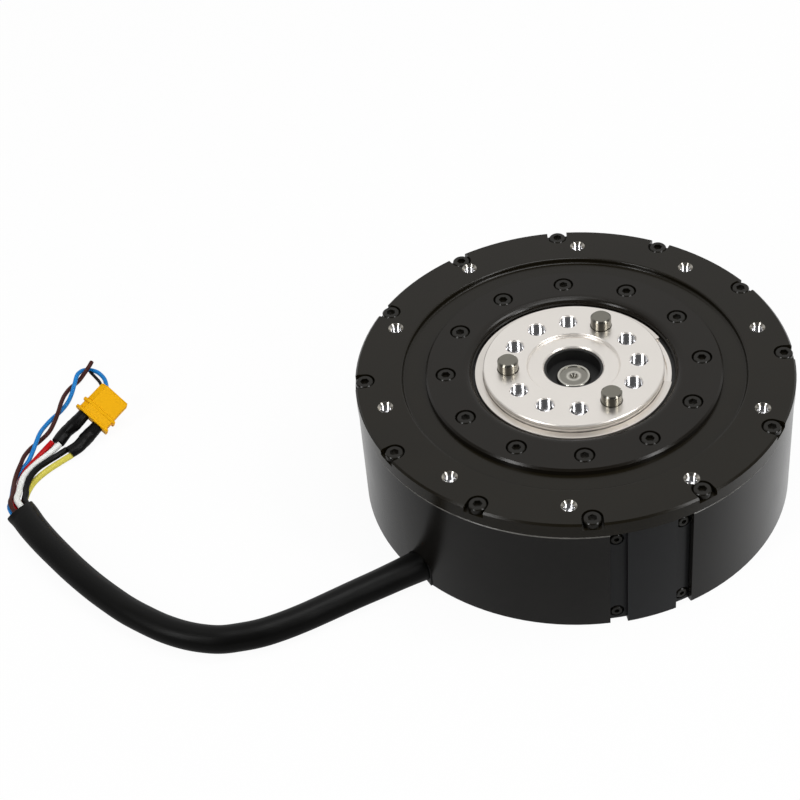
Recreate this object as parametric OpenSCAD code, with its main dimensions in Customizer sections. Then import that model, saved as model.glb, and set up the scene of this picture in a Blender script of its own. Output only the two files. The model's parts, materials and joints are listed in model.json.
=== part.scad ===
// Robot joint module: a flat outer-rotor motor with a planetary gear stage inside,
// an output flange on top, and a cable that ends in loose wires and a power connector.
// Millimetres. The origin is the centre of the housing's underside and +Z is the output axis.

/* [Body] */
// Outer radius of the front cover
body_r = 68; // [67:0.5:71]
// Height of the body from the floor to the front cover's rim land
body_h = 43.5; // [43:0.5:46]
// How far the housing wall is set back under the front cover
wall_setback = 0.2; // [0:0.1:0.6]
// Thickness of the housing wall
wall_t = 6.3; // [6:0.1:6.8]
// Thickness of the housing's inner web
web_t = 2.4; // [2:0.1:2.8]
// Bevel on the housing's and covers' outer edges
edge_bevel = 0.6; // [0.3:0.1:0.8]
// Thickness of the rear cover
rear_cover_t = 2; // [1.5:0.1:2.2]
// Width of the ledge that the rear cover sits on
rear_ledge_w = 1.95; // [1.6:0.05:2.2]

/* [Front cover] */
// Thickness of the front cover's rim
cover_t = 5; // [4.6:0.1:5.4]
// Width of the flat land between the rim and the ring channel
rim_land_w = 14.7; // [14:0.1:15.2]
// Width of the ring channel
channel_w = 7.3; // [6.8:0.1:7.8]
// Depth of the ring channel
channel_depth = 1.6; // [1:0.1:2]
// Radius of the rounds along the channel
channel_round = 0.7; // [0.3:0.1:0.8]
// Depth of the pocket that the inner cover sits in
pocket_depth = 4.6; // [4.4:0.1:4.8]
// Height of the spigot that centres the front cover in the housing
spigot_h = 3.5; // [3:0.1:3.8]
// Width of the spigot
spigot_w = 7.6; // [7:0.1:8]
// Thickness of the hub below the inner cover's pocket
hub_t = 4.9; // [4.7:0.1:5.2]

/* [Inner cover] */
// Thickness of the inner cover
inner_cover_t = 5; // [4.8:0.1:5.3]
// Radius of its opening round the output flange
inner_opening_r = 31.4; // [31.2:0.1:31.8]
// Width of the curved lip round the opening
lip_w = 2.4; // [2:0.1:2.8]
// Drop of the curved lip
lip_drop = 1.4; // [1:0.1:1.7]

/* [Screws and holes] */
// Number of screws round the rim, and round the inner cover
rim_screws_n = 12; // [8:1:14]
// Distance of the rim screws' circle from the rim
rim_screw_inset = 3; // [2.8:0.1:3.2]
// Distance of the inner screws' circle from the inner cover's edge
inner_screw_inset = 6.3; // [6:0.1:6.6]
// Thread diameter of the rim and inner cover screws
screw_d = 3; // [2.8:0.1:3.2]
// Head diameter of these screws
head_d = 5.5; // [5:0.1:5.8]
// Head height of these screws
head_h = 2; // [1.8:0.1:2.2]
// Width across the corners of their sockets
socket_d = 2.9; // [2.6:0.1:3.1]
// Radial clearance round a sunk screw head
head_clear = 0.45; // [0.3:0.05:0.5]
// How far a sunk screw head lies below the surface
head_sink = 0.1; // [0.05:0.05:0.2]
// Number of threaded mounting holes in the rim
mount_holes_n = 10; // [6:1:10]
// Distance of the mounting holes' circle from the rim
mount_hole_inset = 8; // [7.8:0.1:8.2]
// Bore diameter of the mounting holes
mount_hole_d = 3.3; // [3:0.1:3.5]
// Depth of the mounting holes
mount_hole_depth = 7.5; // [6:0.1:7.6]
// Mouth diameter of their countersinks
mount_sink_d = 4.8; // [4.4:0.1:5]
// Thread diameter of the small screws inside
small_screw_d = 2.5; // [2.2:0.1:2.8]

/* [Output flange] */
// Radius of the flange's face
flange_r = 28; // [27.5:0.1:28.2]
// How far the flange's face stands above the rim land
flange_proud = 1.1; // [0.8:0.1:1.6]
// Thickness of the flange's face down to its shoulder
flange_t = 3.4; // [3.2:0.1:3.6]
// Radius of the flange's shoulder under the retaining ring
shoulder_r = 30.2; // [30:0.1:30.4]
// Width of the groove round the foot of the flange's disc
foot_groove_w = 0.9; // [0.6:0.1:1.2]
// Depth of that groove
foot_groove_depth = 1; // [0.6:0.1:1.2]
// Diameter of the circle of holes and dowel pins
hole_circle_d = 40.5; // [39.5:0.5:41]
// Diameter of the holes in the flange
flange_hole_d = 5.6; // [5:0.1:5.8]
// Depth of the holes in the flange
flange_hole_depth = 7.6; // [6:0.1:8]
// Diameter of the dowel pins where they stand out
dowel_d = 6.5; // [6.3:0.1:6.5]
// Diameter of their pressed ends
dowel_press_d = 6; // [5.8:0.1:6]
// Length of the dowel pins
dowel_l = 10; // [9:0.1:10]
// How far the dowel pins stand above the flange
dowel_proud = 3.65; // [3:0.05:4]
// Radius of the recess in the middle of the flange
recess_r = 14.3; // [13:0.1:14.6]
// Depth of that recess
recess_depth = 1; // [0.8:0.1:1.4]
// Radius of the opening over the motor shaft
eye_r = 9.2; // [8.8:0.1:9.3]
// Depth of that opening down to the nose bearing
eye_depth = 5.6; // [5.4:0.1:5.8]
// Thickness of the retaining ring round the flange
ring_t = 0.9; // [0.6:0.1:1.2]
// Outer radius of the retaining ring
ring_r = 30.6; // [30.4:0.1:30.8]
// Angle of the gap in the retaining ring
ring_gap = 40; // [30:1:60]
// Direction of that gap's middle, in degrees
ring_gap_az = 4; // [0:1:10]

/* [Output bearing] */
// Width of the crossed roller bearing
roller_bearing_w = 7.5; // [7.2:0.1:7.8]
// Inner radius of its inner ring
bearing_seat_r = 25; // [24.8:0.1:25.2]
// Radial width of its inner ring
inner_race_w = 4; // [3.9:0.1:4.1]
// Radial width of its outer ring
outer_race_w = 4.5; // [4.4:0.1:4.7]
// Diameter of a roller
roller_d = 3.6; // [3.2:0.1:3.6]
// Number of rollers
rollers_n = 40; // [30:1:42]

/* [Shaft bearings] */
// Radius of the motor shaft
shaft_r = 5; // [4.8:0.1:5]
// Radius of its upper end, in the nose bearing
nose_r = 5.3; // [5.1:0.1:5.4]
// Outer radius of the two ball bearings on the shaft
ball_bearing_r = 9.5; // [9.4:0.1:9.6]
// Width of these bearings
ball_bearing_w = 5; // [4.8:0.1:5]
// Number of balls in each
balls_n = 9; // [7:1:9]
// Depth of the shaft's top end below the flange's face
shaft_depth = 4.7; // [4:0.1:5]

/* [Gears] */
// Pitch diameter for each tooth
tooth_module = 0.8; // [0.8:0.01:0.81]
// Teeth on the sun gear
sun_teeth = 18; // [18:6:18]
// Teeth on each planet gear
planet_teeth = 27; // [27:3:27]
// Radius of a planet's pin
pin_r = 3; // [2.8:0.1:3.2]
// Wall of a planet's bush
bush_t = 1; // [0.8:0.1:1.2]
// Wall of the ring gear behind its teeth
ring_gear_wall = 4.2; // [4:0.1:4.4]
// Thickness of the carrier's lower plate
carrier_t = 2.8; // [2.6:0.1:3]
// Radius of a carrier pillar
pillar_r = 3.5; // [3.2:0.1:3.6]

/* [Motor] */
// Radial wall of the stator's mounting tube
hub_tube_t = 5.9; // [5.7:0.1:6.1]
// Gap between the rotor bell and the housing wall
bell_gap = 2; // [1.6:0.1:2.2]
// Wall of the rotor bell
bell_t = 2; // [1.8:0.1:2.2]
// Thickness of the rotor bell's floor
bell_floor_t = 2; // [1.8:0.1:2.2]
// Thickness of a magnet
magnet_t = 2.5; // [2.2:0.1:2.7]
// Number of magnets
magnets_n = 28; // [20:2:28]
// Gap between the magnets and the stator
air_gap = 0.8; // [0.6:0.1:1]
// Number of stator teeth
stator_teeth = 24; // [18:3:24]
// Width of a stator tooth
stator_tooth_w = 5; // [4.6:0.1:5.4]
// Back wall of the stator core
stator_back_t = 4.5; // [4.2:0.1:4.8]
// Thickness of the windings beside a tooth
winding_t = 2.8; // [2.4:0.1:3]
// Free height above and below the stator core
winding_room = 4; // [3.8:0.1:4.2]

/* [Side cover] */
// Direction of the side cover, counted from +X
side_cover_az = 285; // [280:1:290]
// Half the angle that the side cover spans
side_cover_half = 11; // [10.5:0.25:12]
// Half the angle of its raised panel
panel_half = 6.5; // [6:0.25:7]
// Depth of the housing's pocket behind it
side_pocket_depth = 3.5; // [3.3:0.1:3.6]
// How far its ears lie below the housing's surface
ear_drop = 2; // [1.8:0.1:2.1]
// Head diameter of its screws
ear_head_d = 3.8; // [3.4:0.1:4]
// Distance of its screws from the upper and lower edge
ear_screw_inset = 4.3; // [4:0.1:4.6]

/* [Cable] */
// Diameter of the cable
cable_d = 9; // [8:0.1:9.2]
// Width of the slot that the cable leaves through
cable_slot_w = 10.4; // [10:0.1:10.8]
// Diameter of a power wire
power_wire_d = 2.1; // [1.8:0.1:2.1]
// Diameter of a signal wire
signal_wire_d = 1.5; // [1.2:0.1:1.5]
// Diameter of a heat-shrink sleeve
heat_shrink_d = 4; // [3.6:0.1:4.2]

/* [Connector] */
// Width of the connector's body
plug_w = 11.6; // [11:0.1:12]
// Thickness of the connector
plug_t = 5.8; // [5.4:0.1:6.2]
// Length of the connector
plug_l = 12; // [11:0.5:13]
// Width over its back flange
plug_flange_w = 13.8; // [13:0.1:14.2]
// Bevel of its two keyed corners
plug_key = 2; // [1.5:0.1:2.2]
// Distance between its two pins
plug_pitch = 6; // [5.6:0.1:6.2]
// Diameter of a connector pin
plug_pin_d = 2; // [1.8:0.1:2.4]

/* [Hidden] */

// Clearances
fit = 0.05;             // between two pieces that sit in or on each other
axial_play = 0.4;       // beside what turns, along the axis
past = 1;               // how far a cut runs past the face that it opens

// Outside radii, from the rim inwards
housing_r = body_r - wall_setback;
housing_bore_r = housing_r - wall_t;
spigot_r = housing_bore_r + 1.1;
rear_cover_r = housing_bore_r + rear_ledge_w - fit;
channel_r = body_r - rim_land_w;
inner_cover_r = channel_r - channel_w;
hub_flange_r = inner_cover_r + 3;
rim_screw_circle_r = body_r - rim_screw_inset;
inner_screw_circle_r = inner_cover_r - inner_screw_inset;
mount_circle_r = body_r - mount_hole_inset;
roller_circle_r = bearing_seat_r + inner_race_w;
bearing_outer_r = roller_circle_r + outer_race_w;

// Heights from the top down
cover_z = body_h - cover_t;
pocket_z = body_h - pocket_depth;
hub_z = pocket_z - hub_t;
flange_z = body_h + flange_proud;
shoulder_z = flange_z - flange_t;
groove_z = shoulder_z - foot_groove_depth;
recess_z = flange_z - recess_depth;
nose_bearing_z = recess_z - eye_depth - ball_bearing_w;
roller_bearing_z = pocket_z - roller_bearing_w;
bearing_shelf_t = 1.2;
bearing_shelf_z = roller_bearing_z - bearing_shelf_t;
bearing_shelf_r = roller_circle_r + 1.5;
flange_hub_z = roller_bearing_z - 0.8;
stator_top_z = hub_z - winding_room;

// Screw lengths, and how deep their threads go
rim_screw_l = 8;
rim_thread_l = rim_screw_l - (cover_t - head_h - head_sink) + 0.75;
rear_screw_l = 7;
rear_thread_l = rear_screw_l - rear_cover_t + 1;
ring_screw_l = 6;

// Heights from the floor up
board_gap = 1;
board_t = 1.6;
board_z = rear_cover_t + board_gap;
board_top_z = board_z + board_t;
rear_bearing_z = 6;
rear_bearing_top_z = rear_bearing_z + ball_bearing_w;
bearing_stop_t = 0.6;
web_top_z = rear_bearing_top_z + bearing_stop_t;
web_z = web_top_z - web_t;
bell_z = web_top_z + axial_play;
bell_floor_z = bell_z + bell_floor_t;
carrier_z = bell_floor_z + 0.6;
carrier_top_z = carrier_z + carrier_t;
gear_z = carrier_top_z + axial_play;
gear_top_z = flange_hub_z - axial_play;
ring_flange_z = bell_floor_z + 1;
ring_flange_t = 2;
hub_tube_z = ring_flange_z + ring_flange_t;
stator_z = bell_floor_z + winding_room;
magnet_z = stator_z - 1;
magnet_top_z = stator_top_z + 1;
bell_top_z = magnet_top_z + 0.5;
shaft_end_z = rear_bearing_z - 0.4;
shaft_top_z = flange_z - shaft_depth;
shaft_bevel = 0.3;
shaft_rim = 1;          // width of the raised rim round the shaft's end face
shaft_dish = 0.25;      // how far that face lies under the rim
centre_hole_r = 1.2;
centre_hole_depth = 1.2;

// Gears: a fixed ring, three planets and a sun on the motor shaft
ring_teeth = sun_teeth + 2 * planet_teeth;
planets_n = 3;
pressure_angle = 20;
backlash = 0.1;
tooth_tip = tooth_module;           // height of a tooth over the pitch circle
tooth_root = 1.25 * tooth_module;   // depth of a gap below it
sun_pitch_r = sun_teeth * tooth_module / 2;
planet_pitch_r = planet_teeth * tooth_module / 2;
ring_pitch_r = ring_teeth * tooth_module / 2;
planet_circle_r = sun_pitch_r + planet_pitch_r;
ring_root_r = ring_pitch_r + tooth_root;
ring_tip_r = ring_pitch_r - tooth_tip;
ring_gear_r = ring_root_r + ring_gear_wall;
sun_tip_r = sun_pitch_r + tooth_tip;
hub_tube_inner_r = ring_gear_r + fit;
hub_tube_r = hub_tube_inner_r + hub_tube_t;
ring_flange_r = hub_tube_r - 0.5;
ring_screw_circle_r = (hub_tube_inner_r + hub_tube_r) / 2;
ring_screws_n = 6;
carrier_r = ring_tip_r - 1;
carrier_bore_r = sun_tip_r + axial_play;
pillar_circle_r = carrier_r - pillar_r - 2.5;
pin_depth = 4;          // how deep the planet pins sit in the flange's hub
carrier_screw_depth = 5.4;

// Motor, from the housing wall inwards
bell_r = housing_bore_r - bell_gap;
magnet_outer_r = bell_r - bell_t - fit;
magnet_r = magnet_outer_r - magnet_t;
stator_r = magnet_r - air_gap;
stator_bore_r = hub_tube_r + fit;
stator_back_r = stator_bore_r + stator_back_t;
tooth_shoe_t = 1.5;
tooth_shoe_half = 6.3;
stator_step = 2;        // width of the shoulder that the stator core seats on
winding_side_gap = 0.2;
bell_boss_r = carrier_bore_r - 0.6;
bell_holes_n = 8;
bell_hole_r = 7;

// Ball bearings
function ball_circle(r) = (r + ball_bearing_r) / 2;
ball_r = 1.3;
ring_land = 1.5;        // radial thickness of each ring

// Electronics
board_r = 55;
board_head_d = 4.4;
board_head_h = 0.9;
board_thread_l = 3;
sensor_w = 5;
sensor_t = 0.5;
driver_w = 6;
driver_t = 1.1;
driver_circle_r = board_r - 9;
capacitor_d = 6;
capacitor_h = 3.8;
capacitor_circle_r = board_r - 17;
chip_w = 9;
chip_t = 1.4;
chip_at = 13;
standoffs_n = 3;
standoff_circle_r = 30;
standoff_r = 3;
rear_bosses_n = 6;
rear_boss_r = 3.5;
rear_boss_circle_r = housing_bore_r - 3;

// Side cover
side_pocket_r = housing_r - side_pocket_depth;
side_cover_back_r = side_pocket_r + fit;
ear_r = housing_r - ear_drop;
ear_screw_az = (side_cover_half + panel_half) / 2 + 0.3;
ear_screw_d = 2;
ear_head_h = 1.2;
ear_seat_r = ear_r - 1;
side_fit_angle = 0.06;
lead_channel_half = 4.5;
lead_channel_depth = 1.85;
lead_d = 1.6;
lead_r = side_cover_back_r + 0.95;
lead_top_z = cover_z - spigot_h - 1.7;
lead_low_z = board_top_z + 0.9;

// Output flange
flange_hole_az = [0, 30, 90, 120, 150, 210, 240, 270, 330];
dowel_az = [60, 180, 300];
hole_circle_r = hole_circle_d / 2;
hole_bevel = 0.25;
dowel_bevel = 0.5;
dowel_sink_r = dowel_press_d / 2 + 0.45;
seal_lip_r = shoulder_r + fit;
seal_r = inner_opening_r + 0.8;
seal_z = pocket_z + 0.1;
seal_t = 2;
roller_channel = roller_d + 2 * fit;
seal_sink = 0.7;        // how far the nose seal lies under the recess
seal_wall = 0.7;
seal_base_t = 0.8;

// Cable: the route of the sleeve's middle, chosen by hand
cable_route = [
    [-51, -43.4, 5.1], [-58, -47, 5.1], [-64, -50, 5], [-70, -53, 5], [-76, -56, 4.9],
    [-82, -59, 4.8], [-88, -62, 4.8], [-94, -64.5, 4.7], [-100, -66.5, 4.7],
    [-106, -67.5, 4.6], [-112, -68, 4.6], [-118, -67, 4.6], [-124, -65, 4.6],
    [-130, -62, 4.6], [-136, -58, 4.6], [-142, -53.5, 4.6], [-148, -48, 4.6],
    [-154, -42, 4.6], [-159, -36.5, 4.6], [-164, -30.5, 4.6], [-170, -23, 4.6],
    [-175, -16, 4.6], [-178.5, -10.5, 4.6], [-181, -7, 4.6]
];
cable_end = cable_route[len(cable_route) - 1];
cable_end_dir = unit(cable_end - cable_route[len(cable_route) - 2]);
cable_dir = unit(cable_route[1] - cable_route[0]);
cable_heading = atan2(cable_dir[1], cable_dir[0]);
cable_az = atan2(cable_route[0][1], cable_route[0][0]);
cable_inset = 0.833;    // how far under the wall's face the cable starts
gland_l = 14;
gland_flange_w = 14;
gland_flange_t = 2.5;

// Wires: where each leaves the cable's end face, then its route, chosen by hand
function from_cable(across, up) = [
    for (out = [0.02, 2])
        cable_end + out * cable_end_dir
            + [across * cable_end_dir[1], -across * cable_end_dir[0], up]
];
white_route = concat(from_cable(0.5, 1.7), [
    [-182, -4.2, 6], [-182.4, 0.2, 4.8], [-182.6, 4.8, 3.6], [-181.8, 9.2, 3.2],
    [-179.8, 13.6, 2.6], [-177.4, 17.4, 2.2], [-174.4, 20.8, 2.2], [-171, 24, 3.2]
]);
red_route = concat(from_cable(-0.9, -0.6), [
    [-183, -5, 3.8], [-183.6, -0.2, 2.4], [-183.6, 4.8, 1.6], [-183.2, 9.6, 1.2],
    [-181.6, 14.4, 1.2], [-179.2, 18.8, 1.2], [-176.4, 22.8, 1.8], [-173.6, 25.4, 3.2]
]);
black_route = concat(from_cable(2.7, 0.4), [
    [-180, -2.8, 4.8], [-180.2, 1.2, 3.8], [-180.2, 5.4, 3.2], [-179, 9.4, 3.2],
    [-177.2, 13.2, 2.8], [-174.8, 16.6, 2.4], [-171.8, 19.4, 2.2], [-168.6, 22, 2.4]
]);
yellow_route = concat(from_cable(1.4, -1.8), [
    [-180.8, -3.6, 2.6], [-179.8, 1, 1.4], [-179.2, 5.6, 1.2], [-177.4, 9.8, 1.2],
    [-174.4, 13.6, 1.2], [-170.8, 16.8, 1.4], [-166.6, 19.6, 2]
]);
blue_route = concat(from_cable(-3, -0.2), [
    [-184.8, -6.2, 4.2], [-185.4, -2, 3.2], [-185.6, 2.2, 2.2], [-185.6, 6.4, 1.2],
    [-185, 10.8, 0.8], [-183.6, 14.8, 0.8], [-181.6, 18.6, 1.2], [-180.4, 22.8, 1.8],
    [-179.4, 27, 2.6], [-178.8, 31.2, 2.2], [-177.8, 35.4, 1.2], [-175.8, 39.2, 1],
    [-173.4, 42.8, 0.8], [-171.4, 46.6, 1], [-170.2, 50.8, 1.4], [-169.4, 55, 2.4],
    [-168.8, 59, 2.8], [-167.4, 62.2, 1.8], [-165.2, 63.4, 0.8], [-162.2, 61.8, 0.8],
    [-159.6, 58.2, 0.8], [-158.4, 54, 0.8], [-157.8, 49.6, 0.8]
]);
brown_route = concat(from_cable(-2.4, 1.7), [
    [-184.2, -5.8, 6.2], [-184.4, -1.4, 5.2], [-184.6, 3, 4], [-184.6, 7.4, 3.2],
    [-184.2, 12, 2.8], [-183.6, 16.4, 2.4], [-183, 20.8, 1.8], [-181.4, 25, 1.2],
    [-178.8, 28.8, 0.8], [-176.2, 32.6, 1], [-174.6, 36.6, 1.8], [-173.6, 41, 2.4],
    [-173.2, 45.6, 2.2], [-172.6, 50, 1.6], [-171.2, 54.2, 1], [-168.6, 58, 0.8],
    [-166.4, 60.6, 2.2], [-165, 63, 3], [-164, 66, 3]
]);
dark_route = [[-163.2, 60, 0.6], [-161.2, 56.6, 0.6], [-159.8, 52.4, 0.6]];
dark_wire_d = 1.1;

// Connector: it lies tilted, held up by its wires, with its lower corner near the floor
plug_at = [-161.4, 33.3, 4];
plug_turn = [36.4, -18.2, 44.1];    // roll, pitch and heading
plug_flange_t = 1;
plug_rib_x = 3.6;
plug_rib_t = 1;
plug_mouth_depth = 8.5;
plug_wall = 1.3;
function turn_x(p, a) = [p[0], p[1] * cos(a) - p[2] * sin(a), p[1] * sin(a) + p[2] * cos(a)];
function turn_y(p, a) = [p[0] * cos(a) + p[2] * sin(a), p[1], p[2] * cos(a) - p[0] * sin(a)];
function turn_z(p, a) = [p[0] * cos(a) - p[1] * sin(a), p[0] * sin(a) + p[1] * cos(a), p[2]];
function on_plug(p) = plug_at
    + turn_z(turn_y(turn_x(p, plug_turn[0]), plug_turn[1]), plug_turn[2]);
shrink_left_route = [
    [-171.8, 24.8, 3.6], [-169.8, 28.4, 4.6],
    on_plug([-4.5, plug_pitch / 2, plug_t / 2]), on_plug([-fit, plug_pitch / 2, plug_t / 2])
];
shrink_right_route = [
    [-167.4, 21.1, 2.4], [-164.8, 23.6, 2.8],
    on_plug([-4.5, -plug_pitch / 2, plug_t / 2]), on_plug([-fit, -plug_pitch / 2, plug_t / 2])
];

// Vector helpers and a tube swept along a route, with flat ends square to it
function unit(v) = v / norm(v);
function tangent(route, i) = unit(
    i == 0 ? route[1] - route[0]
    : i == len(route) - 1 ? route[i] - route[i - 1]
    : unit(route[i + 1] - route[i]) + unit(route[i] - route[i - 1])
);
function ring_points(centre, dir, r, sides) =
    let (u = unit(cross(dir, [0, 0, 1])), v = cross(u, dir))
    [for (k = [0:sides - 1]) centre + r * (cos(360 * k / sides) * u + sin(360 * k / sides) * v)];
module tube(route, d, sides) {
    n = len(route);
    points = [for (i = [0:n - 1]) each ring_points(route[i], tangent(route, i), d / 2, sides)];
    skin = [
        for (i = [0:n - 2], k = [0:sides - 1])
            let (a = i * sides + k, b = i * sides + (k + 1) % sides)
            each [[a, a + sides, b + sides], [a, b + sides, b]]
    ];
    ends = [[for (k = [0:sides - 1]) k], [for (k = [sides - 1:-1:0]) (n - 1) * sides + k]];
    polyhedron(points = points, faces = concat(skin, ends), convexity = 4);
}
// Every second point of a closely spaced route, and its last
function thinned(route) =
    [for (i = [0:len(route) - 1]) if (i % 2 == 0 || i == len(route) - 1) route[i]];

// Points of an arc in a profile
function arc(centre, r, from, to, steps = 5) =
    [for (i = [0:steps]) centre + r * [cos(from + (to - from) * i / steps),
                                       sin(from + (to - from) * i / steps)]];

// Involute teeth: half the angle that a tooth spans at radius r
function involute(a) = tan(a) - a * PI / 180;
function half_tooth(r, pitch_r, teeth, widen) =
    let (base_r = pitch_r * cos(pressure_angle))
    90 / teeth + (widen / 2 / pitch_r + involute(pressure_angle)
        - involute(acos(min(1, base_r / max(r, base_r))))) * 180 / PI;
function tooth_outline(teeth, root_r, tip_r, widen, steps = 3) =
    let (
        pitch_r = teeth * tooth_module / 2,
        start_r = max(root_r, pitch_r * cos(pressure_angle)),
        radii = [for (i = [0:steps]) start_r + (tip_r - start_r) * i / steps],
        rise = concat(root_r < start_r - 0.01 ? [root_r] : [], radii)
    )
    [
        for (t = [0:teeth - 1]) each concat(
            [for (r = rise) polar(r, 360 * t / teeth - half_tooth(r, pitch_r, teeth, widen))],
            [for (i = [len(rise) - 1:-1:0])
                polar(rise[i], 360 * t / teeth + half_tooth(rise[i], pitch_r, teeth, widen))]
        )
    ];
function polar(r, a) = [r * cos(a), r * sin(a)];

// Copies round the axis
module around(n, r, start = 0) {
    for (i = [0:n - 1]) rotate([0, 0, start + 360 * i / n]) translate([r, 0, 0]) children();
}
module at_angles(angles, r) {
    for (a = angles) rotate([0, 0, a]) translate([r, 0, 0]) children();
}
module ring(outer, inner, z, h) {
    translate([0, 0, z]) difference() {
        cylinder(r = outer, h = h, $fn = 96);
        translate([0, 0, -past]) cylinder(r = inner, h = h + 2 * past, $fn = 96);
    }
}
// A block bounded by two radii and two angles, centred on +X
module sector(inner, outer, half, z, h) {
    translate([0, 0, z]) rotate_extrude(angle = 2 * half, start = -half, $fn = 180)
        translate([inner, 0]) square([outer - inner, h]);
}
// A cap screw whose head sits on z = 0, with a hexagon socket
module cap_screw(d, head_d, head_h, socket_d, length) {
    difference() {
        union() {
            cylinder(d = head_d, h = head_h - 0.3, $fn = 48);
            translate([0, 0, head_h - 0.3])
                cylinder(d1 = head_d, d2 = head_d - 0.6, h = 0.3, $fn = 48);
            translate([0, 0, -length]) cylinder(d = d, h = length, $fn = 32);
        }
        translate([0, 0, head_h * 0.45]) cylinder(d = socket_d, h = head_h, $fn = 6);
    }
}
// A countersunk screw whose flat head lies at z = 0 and whose shank runs down
module flat_screw(d, length) {
    sink = d / 2;
    difference() {
        union() {
            translate([0, 0, -sink]) cylinder(d1 = d, d2 = 2 * d, h = sink, $fn = 40);
            translate([0, 0, -length]) cylinder(d = d, h = length, $fn = 32);
        }
        translate([0, 0, -sink * 0.8]) cylinder(d = d * 0.85, h = d, $fn = 6);
    }
}
// The hole for that screw
module flat_screw_hole(d, length) {
    sink = d / 2;
    translate([0, 0, -sink - fit]) cylinder(r1 = d / 2 + fit, r2 = d + 2 * fit, h = sink + 2 * fit, $fn = 40);
    translate([0, 0, -length - 0.3]) cylinder(r = d / 2 + fit, h = length + 0.3 + fit, $fn = 32);
}

// Along the cable where it leaves the housing: +X outwards, origin at the wall
module at_cable_exit() {
    rotate([0, 0, cable_az]) translate([housing_r - cable_inset, 0, cable_route[0][2]])
        rotate([0, 0, cable_heading - cable_az]) children();
}
module cable_slot(width, inside, outside) {
    at_cable_exit() {
        translate([-inside, 0, 0]) rotate([0, 90, 0])
            cylinder(d = width, h = inside + outside, $fn = 48);
        translate([-inside, -width / 2, -cable_route[0][2] - past])
            cube([inside + outside, width, cable_route[0][2] + past]);
    }
}

// Housing
module housing() {
    profile = [
        [housing_r, edge_bevel / 2], [housing_r, cover_z - edge_bevel],
        [housing_r - edge_bevel, cover_z], [spigot_r + fit, cover_z],
        [spigot_r + fit, cover_z - spigot_h - fit], [housing_bore_r, cover_z - spigot_h - fit],
        [housing_bore_r, web_top_z], [ball_bearing_r - ring_land, web_top_z],
        [ball_bearing_r - ring_land, rear_bearing_top_z],
        [ball_bearing_r + fit, rear_bearing_top_z], [ball_bearing_r + fit, rear_bearing_z],
        [ball_bearing_r + rear_boss_r, rear_bearing_z], [ball_bearing_r + rear_boss_r, web_z],
        [housing_bore_r, web_z], [housing_bore_r, rear_cover_t],
        [rear_cover_r + fit, rear_cover_t], [rear_cover_r + fit, 0],
        [housing_r - edge_bevel / 2, 0]
    ];
    color("#2a2a2a") difference() {
        union() {
            rotate_extrude($fn = 180) polygon(profile);
            around(rear_bosses_n, rear_boss_circle_r)
                translate([0, 0, rear_cover_t])
                    cylinder(r = rear_boss_r, h = web_z - rear_cover_t + fit, $fn = 40);
            around(standoffs_n, standoff_circle_r, 60)
                translate([0, 0, board_top_z])
                    cylinder(r = standoff_r, h = web_z - board_top_z + fit, $fn = 40);
        }
        around(rim_screws_n, rim_screw_circle_r)
            translate([0, 0, cover_z - rim_thread_l])
                cylinder(r = screw_d / 2 + fit, h = rim_thread_l + past, $fn = 32);
        around(rear_bosses_n, rear_boss_circle_r)
            translate([0, 0, rear_cover_t - past])
                cylinder(r = small_screw_d / 2 + fit, h = rear_thread_l + past, $fn = 32);
        around(standoffs_n, standoff_circle_r, 60)
            translate([0, 0, board_top_z - past])
                cylinder(r = small_screw_d / 2 + fit, h = board_thread_l + 1 + past, $fn = 32);
        rotate([0, 0, side_cover_az]) {
            sector(side_pocket_r, housing_r + past, side_cover_half, -past, cover_z + 2 * past);
            sector(housing_bore_r - past, side_pocket_r + past, lead_channel_half,
                lead_top_z - 1.2, 2.4);
            sector(housing_bore_r - past, side_pocket_r + past, lead_channel_half,
                board_top_z, 2.4);
            side_screw_places() translate([0, 0, -2.1])
                cylinder(r = ear_screw_d / 2 + fit, h = 5, $fn = 32);
        }
        cable_slot(cable_slot_w, gland_l + axial_play, 3 * wall_t);
    }
}

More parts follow.
